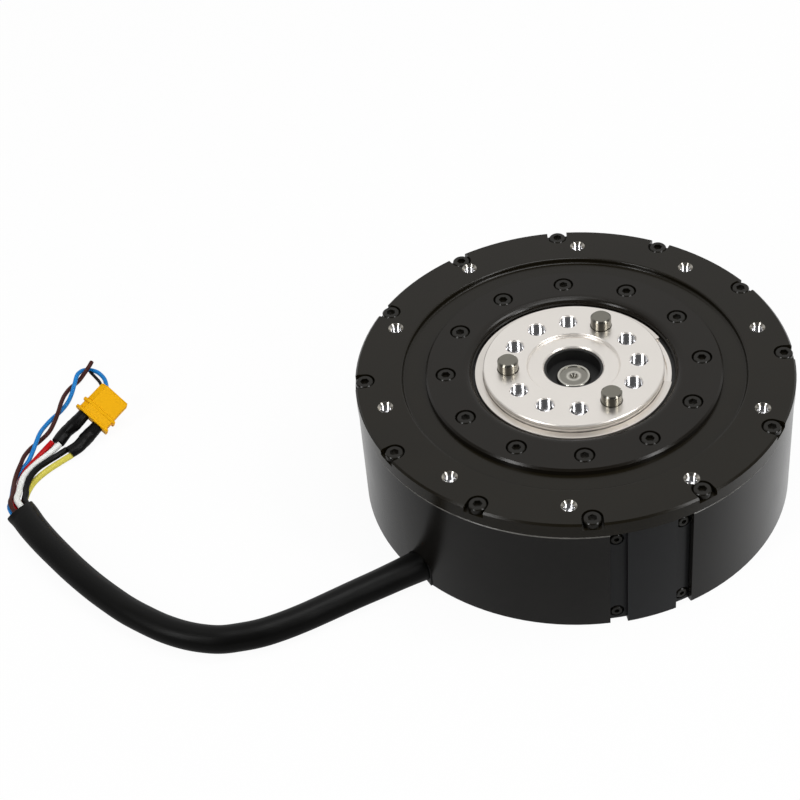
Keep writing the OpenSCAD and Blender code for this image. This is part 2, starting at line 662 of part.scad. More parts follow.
// Front cover with the hub tube that carries the stator and the ring gear
module front_cover() {
    c = channel_round;
    floor_z = body_h - channel_depth;
    profile = concat(
        [[body_r, cover_z], [body_r, body_h - edge_bevel], [body_r - edge_bevel, body_h]],
        arc([channel_r + c, body_h - c], c, 90, 180),
        arc([channel_r - c, floor_z + c], c, 0, -90),
        [
            [inner_cover_r + fit, floor_z], [inner_cover_r + fit, pocket_z],
            [bearing_outer_r + fit, pocket_z], [bearing_outer_r + fit, roller_bearing_z],
            [bearing_shelf_r, roller_bearing_z], [bearing_shelf_r, bearing_shelf_z],
            [hub_tube_inner_r, bearing_shelf_z], [hub_tube_inner_r, hub_tube_z],
            [hub_tube_r, hub_tube_z], [hub_tube_r, stator_top_z],
            [hub_tube_r + stator_step, stator_top_z], [hub_tube_r + stator_step, hub_z],
            [hub_flange_r, hub_z], [hub_flange_r, cover_z],
            [spigot_r - spigot_w, cover_z], [spigot_r - spigot_w, cover_z - spigot_h],
            [spigot_r, cover_z - spigot_h], [spigot_r, cover_z]
        ]
    );
    color("#2e2d2b") difference() {
        rotate_extrude($fn = 180) polygon(profile);
        around(rim_screws_n, rim_screw_circle_r) {
            screw_pocket(body_h, cover_t + 0.5);
            translate([0, -head_d / 2 - head_clear, body_h - head_h - head_sink])
                cube([rim_screw_inset + past, head_d + 2 * head_clear, head_h + head_sink + past]);
        }
        around(mount_holes_n, mount_circle_r, 12) {
            translate([0, 0, body_h - mount_hole_depth])
                cylinder(d = mount_hole_d, h = mount_hole_depth + past, $fn = 40);
            bevelled_mouth(mount_hole_d / 2, mount_sink_d / 2, body_h);
        }
        around(rim_screws_n, inner_screw_circle_r)
            translate([0, 0, pocket_z - 4.3]) cylinder(r = screw_d / 2 + fit, h = 4.3 + past, $fn = 32);
        around(ring_screws_n, ring_screw_circle_r)
            translate([0, 0, hub_tube_z - past])
                cylinder(r = small_screw_d / 2 + fit, h = ring_screw_l - ring_flange_t + 1 + past, $fn = 32);
    }
}
// A counterbored hole for a cap screw, from the surface at z down
module screw_pocket(z, depth) {
    sink = head_h + head_sink;
    translate([0, 0, z - sink]) cylinder(r = head_d / 2 + head_clear, h = sink + past, $fn = 48);
    translate([0, 0, z - depth]) cylinder(r = screw_d / 2 + fit, h = depth, $fn = 32);
}
// A 45 degree bevel at the mouth of a hole in the surface at z
module bevelled_mouth(r, mouth_r, z) {
    h = mouth_r - r;
    translate([0, 0, z - h]) cylinder(r1 = r, r2 = mouth_r + past, h = h + past, $fn = 48);
}

// Inner cover round the output flange
module inner_cover() {
    top_z = pocket_z + inner_cover_t;
    seal_top_z = seal_z + seal_t;
    lip_r = inner_opening_r + 0.5;
    profile = concat(
        [
            [inner_cover_r, pocket_z], [inner_cover_r, top_z - edge_bevel],
            [inner_cover_r - edge_bevel, top_z]
        ],
        [for (p = arc([0, 0], 1, 90, 180)) [lip_r + lip_w * (1 + p[0]), top_z - lip_drop * (1 - p[1])]],
        [
            [lip_r - 0.1, top_z - lip_drop], [inner_opening_r, top_z - lip_drop - 0.3],
            [inner_opening_r, seal_top_z], [seal_r + fit, seal_top_z], [seal_r + fit, pocket_z]
        ]
    );
    color("#262625") difference() {
        rotate_extrude($fn = 180) polygon(profile);
        around(rim_screws_n, inner_screw_circle_r) screw_pocket(top_z, inner_cover_t + past);
    }
}
module rim_screws() {
    color("#1c1c1c") around(rim_screws_n, rim_screw_circle_r)
        translate([0, 0, body_h - head_h - head_sink])
            cap_screw(screw_d, head_d, head_h, socket_d, rim_screw_l);
}
module inner_cover_screws() {
    color("#1c1c1c") around(rim_screws_n, inner_screw_circle_r)
        translate([0, 0, pocket_z + inner_cover_t - head_h - head_sink])
            cap_screw(screw_d, head_d, head_h, socket_d, inner_cover_t - head_h - head_sink + 4);
}

// Rear cover and its screws
module rear_cover() {
    color("#2a2a2a") difference() {
        union() {
            cylinder(r = rear_cover_r, h = rear_cover_t, $fn = 180);
            around(3, 20) translate([0, 0, rear_cover_t - fit]) cylinder(r = 2.5, h = board_gap, $fn = 32);
        }
        around(rear_bosses_n, rear_boss_circle_r) rotate([180, 0, 0])
            flat_screw_hole(small_screw_d, rear_cover_t + past);
        cable_slot(cable_slot_w, gland_l + axial_play, 3 * wall_t);
    }
}
module rear_cover_screws() {
    color("#1c1c1c") around(rear_bosses_n, rear_boss_circle_r) rotate([180, 0, 0])
        flat_screw(small_screw_d, rear_screw_l);
}

// Side cover over the phase leads, with an ear on each side
module side_screw_places() {
    for (side = [-1, 1], z = [ear_screw_inset - 1.1, cover_z - ear_screw_inset])
        rotate([0, 0, side * ear_screw_az]) translate([ear_seat_r, 0, z]) rotate([0, 90, 0]) children();
}
module side_cover() {
    half = side_cover_half - side_fit_angle;
    h = cover_z - fit;
    color("#333331") rotate([0, 0, side_cover_az]) difference() {
        union() {
            sector(side_cover_back_r, ear_r, half, 0, h);
            sector(side_cover_back_r, housing_r, panel_half, 0, h);
        }
        sector(side_cover_back_r - past, side_cover_back_r + lead_channel_depth,
            lead_channel_half, board_top_z, lead_top_z + 1.2 - board_top_z);
        side_screw_places() {
            cylinder(d = ear_head_d + 0.8, h = 5, $fn = 40);
            translate([0, 0, -past]) cylinder(r = ear_screw_d / 2 + fit, h = 2 * past, $fn = 32);
        }
    }
}
module side_cover_screws() {
    color("#1c1c1c") rotate([0, 0, side_cover_az]) side_screw_places()
        cap_screw(ear_screw_d, ear_head_d, ear_head_h, 1.7, 2);
}

// Ring gear, fixed in the hub tube by its lower flange
module ring_gear() {
    space = tooth_outline(ring_teeth, ring_tip_r, ring_root_r, backlash / 2);
    color("#8a8c90") difference() {
        union() {
            translate([0, 0, hub_tube_z]) linear_extrude(gear_top_z - hub_tube_z) difference() {
                circle(r = ring_gear_r, $fn = 144);
                polygon(space);
            }
            ring(ring_flange_r, ring_root_r + 0.3, ring_flange_z, ring_flange_t);
        }
        around(ring_screws_n, ring_screw_circle_r) translate([0, 0, ring_flange_z])
            rotate([180, 0, 0]) flat_screw_hole(small_screw_d, ring_flange_t + past);
    }
}
module ring_gear_screws() {
    color("#1c1c1c") around(ring_screws_n, ring_screw_circle_r)
        translate([0, 0, ring_flange_z]) rotate([180, 0, 0])
            flat_screw(small_screw_d, ring_screw_l);
}

// Stator
module stator_core() {
    shoe_r = stator_r - tooth_shoe_t;
    color("#6f6f73") translate([0, 0, stator_z]) linear_extrude(stator_top_z - stator_z) {
        difference() {
            circle(r = stator_back_r, $fn = 144);
            circle(r = stator_bore_r, $fn = 144);
        }
        around(stator_teeth, 0)
            translate([stator_back_r - 1, -stator_tooth_w / 2])
                square([shoe_r - stator_back_r + 1.5, stator_tooth_w]);
        around(stator_teeth, 0) polygon(concat(
            [for (a = [-tooth_shoe_half, -3, 0, 3, tooth_shoe_half]) polar(stator_r, a)],
            [polar(shoe_r + 0.7, tooth_shoe_half), polar(shoe_r, 3),
             polar(shoe_r, -3), polar(shoe_r + 0.7, -tooth_shoe_half)]
        ));
    }
}
module stator_windings() {
    inner = stator_back_r + winding_side_gap;
    depth = stator_r - tooth_shoe_t - winding_side_gap - inner;
    w = stator_tooth_w / 2 + winding_side_gap / 4;
    core_h = stator_top_z - stator_z;
    overhang = winding_t;
    half_h = core_h / 2 + overhang;
    b = 1.2;
    outline = [
        [w + winding_t - b, half_h], [w + winding_t, half_h - b],
        [w + winding_t, b - half_h], [w + winding_t - b, -half_h],
        [b - w - winding_t, -half_h], [-w - winding_t, b - half_h],
        [-w - winding_t, half_h - b], [b - w - winding_t, half_h]
    ];
    color("#b5622d") translate([0, 0, stator_z + core_h / 2])
        around(stator_teeth, inner) rotate([90, 0, 90]) linear_extrude(depth) difference() {
            polygon(outline);
            square([2 * w, core_h + winding_side_gap / 2], center = true);
        }
}
// Three leads from the windings over the rotor, down behind the side cover to the board
module phase_leads() {
    color("#20335c") rotate([0, 0, side_cover_az]) for (a = [-2.6, 0, 2.6]) rotate([0, 0, a]) {
        translate([lead_r, 0, lead_low_z]) cylinder(d = lead_d, h = lead_top_z - lead_low_z, $fn = 24);
        translate([stator_r - 1, 0, lead_top_z]) rotate([0, 90, 0])
            cylinder(d = lead_d - 0.1, h = lead_r - stator_r + 1, $fn = 24);
        translate([board_r - 1, 0, lead_low_z]) rotate([0, 90, 0])
            cylinder(d = lead_d - 0.1, h = lead_r - board_r + 1, $fn = 24);
    }
}

// Output bearing: two rings with crossed rollers between them, and its seal
module roller_groove() {
    rotate_extrude($fn = 144) translate([roller_circle_r, roller_bearing_z + roller_bearing_w / 2])
        rotate(45) square(roller_channel, center = true);
}
module output_bearing_outer_ring() {
    color("#9a9ca0") difference() {
        ring(bearing_outer_r, roller_circle_r + 0.1, roller_bearing_z, roller_bearing_w);
        roller_groove();
    }
}
module output_bearing_inner_ring() {
    color("#9a9ca0") difference() {
        ring(roller_circle_r - 0.1, bearing_seat_r + fit, roller_bearing_z, roller_bearing_w);
        roller_groove();
    }
}
module output_bearing_rollers() {
    color("#c8c8cc") for (i = [0:rollers_n - 1])
        rotate([0, 0, 360 * i / rollers_n])
            translate([roller_circle_r, 0, roller_bearing_z + roller_bearing_w / 2])
                rotate([0, i % 2 == 0 ? 45 : -45, 0])
                    cylinder(d = roller_d, h = roller_d - 0.1, center = true, $fn = 24);
}
module output_seal() {
    color("#141414") ring(seal_r, seal_lip_r, seal_z, seal_t);
}

// Electronics under the web
module circuit_board() {
    color("#123c22") difference() {
        translate([0, 0, board_z]) cylinder(r = board_r, h = board_t, $fn = 144);
        around(standoffs_n, standoff_circle_r, 60) translate([0, 0, board_z - past])
            cylinder(r = small_screw_d / 2 + fit, h = board_t + 2 * past, $fn = 32);
        around(rear_bosses_n, rear_boss_circle_r) translate([0, 0, board_z - past])
            cylinder(r = rear_boss_r + 0.5, h = board_t + 2 * past, $fn = 40);
        at_cable_exit()
            translate([-gland_l - gland_flange_t - 1, -gland_flange_w / 2 - 0.5, -board_top_z - past])
            cube([board_r, gland_flange_w + 1, board_top_z + 2 * past]);
    }
}
module board_components() {
    color("#3a3a3c") translate([0, 0, board_top_z]) {
        translate([-sensor_w / 2, -sensor_w / 2, 0]) cube([sensor_w, sensor_w, sensor_t]);
        for (start = [15, 45]) around(6, driver_circle_r, start)
            translate([-sensor_w / 2, -driver_w / 2, 0]) cube([sensor_w, driver_w, driver_t]);
        around(4, capacitor_circle_r, 100) cylinder(d = capacitor_d, h = capacitor_h, $fn = 40);
        translate([chip_at, -2 * chip_w, 0]) cube([chip_w, chip_w, chip_t]);
        translate([chip_at, chip_at, 0]) cube([2 * capacitor_d, capacitor_d, capacitor_h - 0.6]);
        translate([-2 * chip_at, chip_at, 0]) cube([capacitor_d, 2 * capacitor_d, chip_t + 0.6]);
    }
}
module board_screws() {
    color("#8d8f92") around(standoffs_n, standoff_circle_r, 60) translate([0, 0, board_z])
        rotate([180, 0, 0])
            cap_screw(small_screw_d, board_head_d, board_head_h, 1.5, board_t + board_thread_l);
}

// Ball bearings on the motor shaft
module ball_groove(z, r) {
    translate([0, 0, z + ball_bearing_w / 2]) rotate_extrude($fn = 96)
        translate([ball_circle(r), 0]) circle(r = ball_r + fit, $fn = 40);
}
module bearing_outer(z, r) {
    color("#a4a6aa") difference() {
        ring(ball_bearing_r, ball_bearing_r - ring_land, z, ball_bearing_w);
        ball_groove(z, r);
    }
}
module bearing_inner(z, r) {
    color("#a4a6aa") difference() {
        ring(r + ring_land + fit, r + fit, z, ball_bearing_w);
        ball_groove(z, r);
    }
}
module balls(z, r) {
    color("#d0d0d4") around(balls_n, ball_circle(r))
        translate([0, 0, z + ball_bearing_w / 2]) sphere(r = ball_r, $fn = 32);
}
module rear_bearing_outer_ring() { bearing_outer(rear_bearing_z, shaft_r); }
module rear_bearing_inner_ring() { bearing_inner(rear_bearing_z, shaft_r); }
module rear_bearing_balls() { balls(rear_bearing_z, shaft_r); }
module nose_bearing_outer_ring() { bearing_outer(nose_bearing_z, nose_r); }
module nose_bearing_inner_ring() { bearing_inner(nose_bearing_z, nose_r); }
module nose_bearing_balls() { balls(nose_bearing_z, nose_r); }
module nose_bearing_seal() {
    base_z = nose_bearing_z + ball_bearing_w + 0.1;
    outer_r = eye_r - fit;
    color("#141414") rotate_extrude($fn = 120) polygon([
        [nose_r + fit, base_z], [outer_r, base_z], [outer_r, recess_z - seal_sink],
        [outer_r - seal_wall, recess_z - seal_sink], [outer_r - seal_wall, base_z + seal_base_t],
        [nose_r + fit, base_z + seal_base_t]
    ]);
}

// Output side: the flange is also the upper half of the planet carrier
module output_flange() {
    profile = [
        [eye_r, recess_z - 0.4], [eye_r + 0.4, recess_z], [recess_r - 0.3, recess_z],
        [recess_r, recess_z + 0.3], [recess_r, flange_z - 0.3], [recess_r + 0.3, flange_z],
        [flange_r - 0.3, flange_z], [flange_r, flange_z - 0.3], [flange_r, groove_z],
        [flange_r + foot_groove_w, groove_z], [flange_r + foot_groove_w, shoulder_z],
        [shoulder_r, shoulder_z], [shoulder_r, pocket_z + axial_play],
        [roller_circle_r - 0.8, pocket_z + axial_play], [roller_circle_r - 0.8, pocket_z],
        [bearing_seat_r, pocket_z], [bearing_seat_r, flange_hub_z],
        [ball_bearing_r + fit, flange_hub_z],
        [ball_bearing_r + fit, nose_bearing_z + ball_bearing_w],
        [eye_r, nose_bearing_z + ball_bearing_w]
    ];
    color("#d8d6d0") difference() {
        rotate_extrude($fn = 180) polygon(profile);
        at_angles(flange_hole_az, hole_circle_r) {
            translate([0, 0, flange_z - flange_hole_depth])
                cylinder(d = flange_hole_d, h = flange_hole_depth + past, $fn = 48);
            bevelled_mouth(flange_hole_d / 2, flange_hole_d / 2 + hole_bevel, flange_z);
        }
        at_angles(dowel_az, hole_circle_r) {
            translate([0, 0, flange_z + dowel_proud - dowel_l - fit])
                cylinder(r = dowel_press_d / 2 + fit, h = dowel_l, $fn = 48);
            bevelled_mouth(dowel_press_d / 2 + fit, dowel_sink_r, flange_z);
        }
        around(planets_n, planet_circle_r) translate([0, 0, flange_hub_z - past])
            cylinder(r = pin_r + fit, h = pin_depth + past + fit, $fn = 40);
        around(planets_n, pillar_circle_r, 60) translate([0, 0, flange_hub_z - past])
            cylinder(r = screw_d / 2 + fit, h = carrier_screw_depth + past + 0.4, $fn = 32);
    }
}
module dowel_pins() {
    low = dowel_press_d / 2;
    top = dowel_d / 2;
    color("#8f8d88") at_angles(dowel_az, hole_circle_r) translate([0, 0, flange_z])
        rotate_extrude($fn = 48) polygon([
            [0, dowel_proud - dowel_l], [low - dowel_bevel, dowel_proud - dowel_l],
            [low, dowel_proud - dowel_l + dowel_bevel], [low, 0], [top, 0],
            [top, dowel_proud - dowel_bevel], [top - dowel_bevel, dowel_proud], [0, dowel_proud]
        ]);
}
module retaining_ring() {
    color("#b9b8b4") translate([0, 0, shoulder_z])
        rotate_extrude(angle = 360 - ring_gap, start = ring_gap_az + ring_gap / 2, $fn = 180)
            translate([flange_r + fit, 0]) square([ring_r - flange_r - fit, ring_t]);
}
module planet_carrier() {
    color("#85878b") difference() {
        union() {
            translate([0, 0, carrier_z]) cylinder(r = carrier_r, h = carrier_t, $fn = 120);
            around(planets_n, pillar_circle_r, 60) translate([0, 0, carrier_top_z])
                cylinder(r = pillar_r, h = flange_hub_z - carrier_top_z, $fn = 40);
        }
        translate([0, 0, carrier_z - past])
            cylinder(r = carrier_bore_r, h = carrier_t + 2 * past, $fn = 60);
        around(planets_n, planet_circle_r) translate([0, 0, carrier_z - past])
            cylinder(r = pin_r + fit, h = carrier_t + 2 * past, $fn = 40);
        around(planets_n, pillar_circle_r, 60) translate([0, 0, carrier_z]) rotate([180, 0, 0])
            flat_screw_hole(screw_d, flange_hub_z - carrier_z + past);
    }
}
module planet_pins() {
    color("#c4c4c8") around(planets_n, planet_circle_r) translate([0, 0, carrier_z])
        cylinder(r = pin_r, h = flange_hub_z + pin_depth - carrier_z, $fn = 40);
}
module carrier_screws() {
    color("#1c1c1c") around(planets_n, pillar_circle_r, 60) translate([0, 0, carrier_z])
        rotate([180, 0, 0]) flat_screw(screw_d, flange_hub_z + carrier_screw_depth - carrier_z);
}

// Planets, each with a bush on its pin
module planet_gear(index) {
    teeth = tooth_outline(planet_teeth, planet_pitch_r - tooth_root, planet_pitch_r + tooth_tip,
        -backlash / 2);
    color("#9b9da1") rotate([0, 0, index * 360 / planets_n]) translate([planet_circle_r, 0, gear_z])
        linear_extrude(gear_top_z - gear_z) difference() {
            polygon(teeth);
            circle(r = pin_r + bush_t + fit, $fn = 48);
        }
}
module planet_bush(index) {
    color("#b08d4a") rotate([0, 0, index * 360 / planets_n]) translate([planet_circle_r, 0, 0])
        ring(pin_r + bush_t, pin_r + fit, gear_z, gear_top_z - gear_z);
}
module planet_gear_1() { planet_gear(0); }
module planet_gear_2() { planet_gear(1); }
module planet_gear_3() { planet_gear(2); }
module planet_bush_1() { planet_bush(0); }
module planet_bush_2() { planet_bush(1); }
module planet_bush_3() { planet_bush(2); }

// Rotor: the bell carries the magnets round the stator and turns the sun shaft
module rotor_bell() {
    profile = [
        [shaft_r + fit, rear_bearing_top_z], [shaft_r + ring_land, rear_bearing_top_z],
        [shaft_r + ring_land, bell_z], [bell_r, bell_z], [bell_r, bell_top_z],
        [bell_r - bell_t, bell_top_z], [bell_r - bell_t, bell_floor_z],
        [bell_boss_r, bell_floor_z], [bell_boss_r, gear_z], [shaft_r + fit, gear_z]
    ];
    color("#7c7e82") difference() {
        rotate_extrude($fn = 180) polygon(profile);
        around(bell_holes_n, (ring_flange_r + bell_boss_r) / 2 + 3) translate([0, 0, bell_z - past])
            cylinder(r = bell_hole_r, h = bell_floor_t + 2 * past, $fn = 48);
    }
}
module rotor_magnets() {
    half = 180 / magnets_n - 0.5;
    color("#a9abaf") for (i = [0:magnets_n - 1]) rotate([0, 0, 360 * i / magnets_n])
        sector(magnet_r, magnet_outer_r, half, magnet_z, magnet_top_z - magnet_z);
}
module sun_shaft() {
    teeth = tooth_outline(sun_teeth, sun_pitch_r - tooth_root, sun_tip_r, -backlash / 2);
    collar_r = nose_r + ring_land - 0.1;
    face_z = shaft_top_z - shaft_dish;
    color("#c9c9cc") difference() {
        union() {
            translate([0, 0, shaft_end_z])
                cylinder(r = shaft_r, h = gear_top_z - shaft_end_z, $fn = 60);
            translate([0, 0, gear_z]) linear_extrude(gear_top_z - gear_z) polygon(teeth);
            translate([0, 0, gear_top_z])
                cylinder(r = collar_r, h = nose_bearing_z - gear_top_z, $fn = 60);
            translate([0, 0, gear_top_z])
                cylinder(r = nose_r, h = shaft_top_z - shaft_bevel - gear_top_z, $fn = 60);
            translate([0, 0, shaft_top_z - shaft_bevel])
                cylinder(r1 = nose_r, r2 = nose_r - shaft_bevel, h = shaft_bevel, $fn = 60);
        }
        translate([0, 0, face_z]) cylinder(r = nose_r - shaft_rim, h = shaft_dish + past, $fn = 60);
        translate([0, 0, face_z - centre_hole_depth])
            cylinder(r1 = 0.3, r2 = centre_hole_r, h = centre_hole_depth + fit, $fn = 32);
        translate([0, 0, shaft_end_z - past]) cylinder(r = 3 + fit, h = 1 + past + fit, $fn = 40);
    }
}
module encoder_magnet() {
    color("#b0b2b6") translate([0, 0, shaft_end_z - 0.4]) cylinder(r = 3, h = 1.4, $fn = 40);
}

// Cable, its gland, the loose wires and the connector
module cable_gland() {
    w = cable_slot_w - 2 * fit;
    low = cable_route[0][2] - 0.2;
    color("#161616") at_cable_exit() translate([-2 * fit, 0, 0]) {
        intersection() {
            union() {
                translate([-gland_l, 0, 0]) rotate([0, 90, 0]) cylinder(d = w, h = gland_l, $fn = 48);
                translate([-gland_l, -w / 2, -low]) cube([gland_l, w, low]);
            }
            translate([-gland_l, -w, -low]) cube([gland_l, 2 * w, 2 * low]);
        }
        translate([-gland_l - gland_flange_t, -gland_flange_w / 2, rear_cover_t + 0.2 - cable_route[0][2]])
            cube([gland_flange_t, gland_flange_w, web_z - rear_cover_t - 0.3]);
    }
}
module cable_sleeve() { color("#1b1b1a") tube(thinned(cable_route), cable_d, 12); }
module wire_white() { color("#e4e6e1") tube(white_route, power_wire_d, 8); }
module wire_red() { color("#b81418") tube(red_route, power_wire_d, 8); }
module wire_black() { color("#171717") tube(black_route, power_wire_d, 8); }
module wire_yellow() { color("#e8da55") tube(yellow_route, power_wire_d, 8); }
module wire_blue() { color("#2a7cc4") tube(blue_route, signal_wire_d, 8); }
module wire_brown() { color("#5a3732") tube(brown_route, signal_wire_d, 8); }
module wire_dark() { color("#2a2524") tube(dark_route, dark_wire_d, 8); }
module heat_shrink_left() { color("#1a1a1a") tube(shrink_left_route, heat_shrink_d, 12); }
module heat_shrink_right() { color("#1a1a1a") tube(shrink_right_route, heat_shrink_d, 12); }

// The connector's outline across its length: a rectangle with two keyed corners on one side
function plug_outline(w, t, key) = [
    [-w / 2, 0], [w / 2 - key, 0], [w / 2, key], [w / 2, t - key], [w / 2 - key, t], [-w / 2, t]
];
module plug_block(w, t, key, x, length) {
    translate([x, 0, (plug_t - t) / 2]) rotate([90, 0, 90]) linear_extrude(length)
        polygon(plug_outline(w, t, key));
}
module in_plug_frame() {
    translate(plug_at) rotate([0, 0, plug_turn[2]]) rotate([0, plug_turn[1], 0])
        rotate([plug_turn[0], 0, 0]) children();
}
module power_connector() {
    color("#f0b219") in_plug_frame() difference() {
        union() {
            plug_block(plug_w, plug_t, plug_key, 0, plug_l);
            plug_block(plug_flange_w, plug_t + 0.8, plug_key, 0, plug_flange_t);
            plug_block(plug_flange_w - 0.2, plug_t + 0.6, plug_key, plug_rib_x, plug_rib_t);
        }
        plug_block(plug_w - 2 * plug_wall, plug_t - 2 * plug_wall, plug_key - 0.5,
            plug_l - plug_mouth_depth, plug_mouth_depth + past);
        pin_places() translate([0, 0, -past]) cylinder(d = plug_pin_d + 2 * fit, h = plug_l, $fn = 32);
    }
}
module pin_places() {
    for (side = [-1, 1]) translate([0, side * plug_pitch / 2, plug_t / 2]) rotate([0, 90, 0]) children();
}
module connector_pins() {
    color("#c9a24a") in_plug_frame() pin_places() {
        cylinder(d = plug_pin_d, h = plug_l - 1.5, $fn = 32);
        translate([0, 0, plug_l - 1.5]) sphere(d = plug_pin_d, $fn = 32);
    }
}

housing();
front_cover();
inner_cover();
rim_screws();
inner_cover_screws();
rear_cover();
rear_cover_screws();
side_cover();
side_cover_screws();
ring_gear();
ring_gear_screws();
stator_core();
stator_windings();
phase_leads();
output_bearing_outer_ring();
output_seal();
circuit_board();
board_components();
board_screws();
rear_bearing_outer_ring();
rear_bearing_balls();
cable_gland();
cable_sleeve();
wire_white();
wire_red();
wire_black();
wire_yellow();
wire_blue();
wire_brown();
wire_dark();
heat_shrink_left();
heat_shrink_right();
power_connector();
connector_pins();
output_flange();
dowel_pins();
retaining_ring();
output_bearing_inner_ring();
output_bearing_rollers();
planet_carrier();
planet_pins();
carrier_screws();
nose_bearing_outer_ring();
nose_bearing_balls();
nose_bearing_seal();
rotor_bell();
rotor_magnets();
sun_shaft();
nose_bearing_inner_ring();
rear_bearing_inner_ring();
encoder_magnet();
planet_gear_1();
planet_gear_2();
planet_gear_3();
planet_bush_1();
planet_bush_2();
planet_bush_3();
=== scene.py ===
"""Dresses the robot joint module: its cable, wires and connector, its finishes and the studio.

Every length is given in millimetres and becomes metres where a mesh is made. The frame is the CAD
model's: the origin is the centre of the housing's underside and +Z is the output axis.
"""

from __future__ import annotations

import json
import logging
import math
from dataclasses import dataclass, field
from enum import Enum
from typing import Callable, Mapping, Sequence

import bpy
import numpy as np
from mathutils import Matrix, Vector

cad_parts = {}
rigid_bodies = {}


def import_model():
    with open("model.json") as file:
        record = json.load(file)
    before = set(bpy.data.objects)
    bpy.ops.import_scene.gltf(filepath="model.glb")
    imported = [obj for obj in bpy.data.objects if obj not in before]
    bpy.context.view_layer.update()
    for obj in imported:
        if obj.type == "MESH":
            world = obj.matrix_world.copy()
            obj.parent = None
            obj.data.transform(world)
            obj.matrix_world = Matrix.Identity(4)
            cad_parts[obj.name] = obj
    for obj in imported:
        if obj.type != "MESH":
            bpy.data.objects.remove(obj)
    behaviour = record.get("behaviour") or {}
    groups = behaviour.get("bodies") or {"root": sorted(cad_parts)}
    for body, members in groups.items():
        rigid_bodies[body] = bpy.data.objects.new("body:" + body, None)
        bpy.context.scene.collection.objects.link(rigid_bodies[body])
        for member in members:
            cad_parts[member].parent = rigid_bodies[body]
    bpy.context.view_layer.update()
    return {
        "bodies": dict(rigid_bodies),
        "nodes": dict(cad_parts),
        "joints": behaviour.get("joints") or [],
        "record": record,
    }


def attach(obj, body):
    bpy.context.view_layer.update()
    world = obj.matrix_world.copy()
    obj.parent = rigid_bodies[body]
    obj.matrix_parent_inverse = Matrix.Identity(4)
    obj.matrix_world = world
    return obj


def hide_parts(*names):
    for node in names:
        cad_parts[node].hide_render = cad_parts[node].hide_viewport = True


MM = 0.001
LOG = logging.getLogger("robot_joint")
Color = tuple[float, float, float]
Point = tuple[float, float, float]
Socket = bpy.types.NodeSocket
Given = Mapping[str, Socket]


# Surfaces


@dataclass
class Shell:
    """Points in millimetres, faces, and a UV for each corner of each face."""

    points: np.ndarray
    faces: list[np.ndarray]
    uvs: list[np.ndarray]


def join_shells(shells: Sequence[Shell]) -> Shell:
    """Puts several shells into one.

    Args:
        shells: The shells, which share no points.

    Returns:
        One shell whose faces count on through all the points.
    """
    starts = np.cumsum([0] + [len(s.points) for s in shells[:-1]])
    return Shell(
        np.concatenate([s.points for s in shells]),
        [f + start for s, start in zip(shells, starts) for f in s.faces],
        [uv for s in shells for uv in s.uvs],
    )


def skin(rings: np.ndarray, along: np.ndarray, closed: bool = False) -> Shell:
    """Closes a stack of rings into a shell.

    Corner (i, j) is point j of ring i. Quads join neighbouring rings, and each end gets a fan
    round its middle, unless the last ring joins the first. Points run right-handed round the way
    that the rings advance, so that faces point outwards.

    Args:
        rings: Points as (ring, point round it, xyz).
        along: The distance of each ring along the piece, which becomes its V.
        closed: Whether the last ring joins the first, as on a turned ring.

    Returns:
        The closed shell.
    """
    count, sides, _ = rings.shape
    rows = np.arange(count if closed else count - 1)
    i, j = (g.ravel() for g in np.meshgrid(rows, np.arange(sides), indexing="ij"))
    up, right = (i + 1) % count, (j + 1) % sides
    quads = np.stack([i * sides + j, i * sides + right, up * sides + right, up * sides + j], 1)
    u0, u1, v0, v1 = j / sides, (j + 1) / sides, along[i], along[up]
    quad_uv = np.stack([u0, v0, u1, v0, u1, v1, u0, v1], 1).reshape(-1, 4, 2)
    points = rings.reshape(-1, 3)
    if closed:
        return Shell(points, [quads], [quad_uv])
    middles = np.stack([rings[0].mean(0), rings[-1].mean(0)])
    k = np.arange(sides)
    after, last = (k + 1) % sides, (count - 1) * sides
    low = np.stack([np.full(sides, len(points)), after, k], 1)
    high = np.stack([np.full(sides, len(points) + 1), last + k, last + after], 1)
    fan_uv = np.stack([np.stack([k / sides] * 3, 1), np.zeros((sides, 3))], 2)
    return Shell(
        np.concatenate([points, middles]),
        [quads, low, high],
        [quad_uv, fan_uv + [0, along[0]], fan_uv + [0, along[-1]]],
    )


def full_turn(sides: int) -> np.ndarray:
    """Evenly spaced angles round a circle, from 0."""
    return np.linspace(0, 2 * math.pi, sides, endpoint=False)


def turned(profile: Sequence[Sequence[float]], sides: int, centre: Sequence[float]) -> Shell:
    """A closed profile turned round a vertical line: (r cos t, r sin t, z).

    Args:
        profile: Points (radius, height), anticlockwise with the radius to the right.
        sides: The number of steps round the line.
        centre: Where the line stands, as (x, y).

    Returns:
        The turned ring.
    """
    r, z = np.array(profile, float).T
    t = full_turn(sides)
    x = centre[0] + r[:, None] * np.cos(t)
    y = centre[1] + r[:, None] * np.sin(t)
    rings = np.stack([x, y, np.broadcast_to(z[:, None], x.shape)], 2)
    return skin(rings, np.arange(len(r)) / len(r), closed=True)


def smooth_route(points: Sequence[Sequence[float]], steps: int) -> np.ndarray:
    """A Catmull-Rom curve: each span blends the tangents (p[i+1] - p[i-1]) / 2 at its two ends.

    Args:
        points: The points that the curve goes through.
        steps: How many parts each span is cut into.

    Returns:
        Points along the curve, first and last included.
    """
    p = np.array(points, float)
    p = np.concatenate([[2 * p[0] - p[1]], p, [2 * p[-1] - p[-2]]])
    a, b, c, d = p[:-3, None], p[1:-2, None], p[2:-1, None], p[3:, None]
    t = (np.arange(steps) / steps)[None, :, None]
    square, cube = 2 * a - 5 * b + 4 * c - d, 3 * b - a - 3 * c + d
    curve = 0.5 * (2 * b + (c - a) * t + square * t**2 + cube * t**3)
    return np.concatenate([curve.reshape(-1, 3), p[-2:-1]])


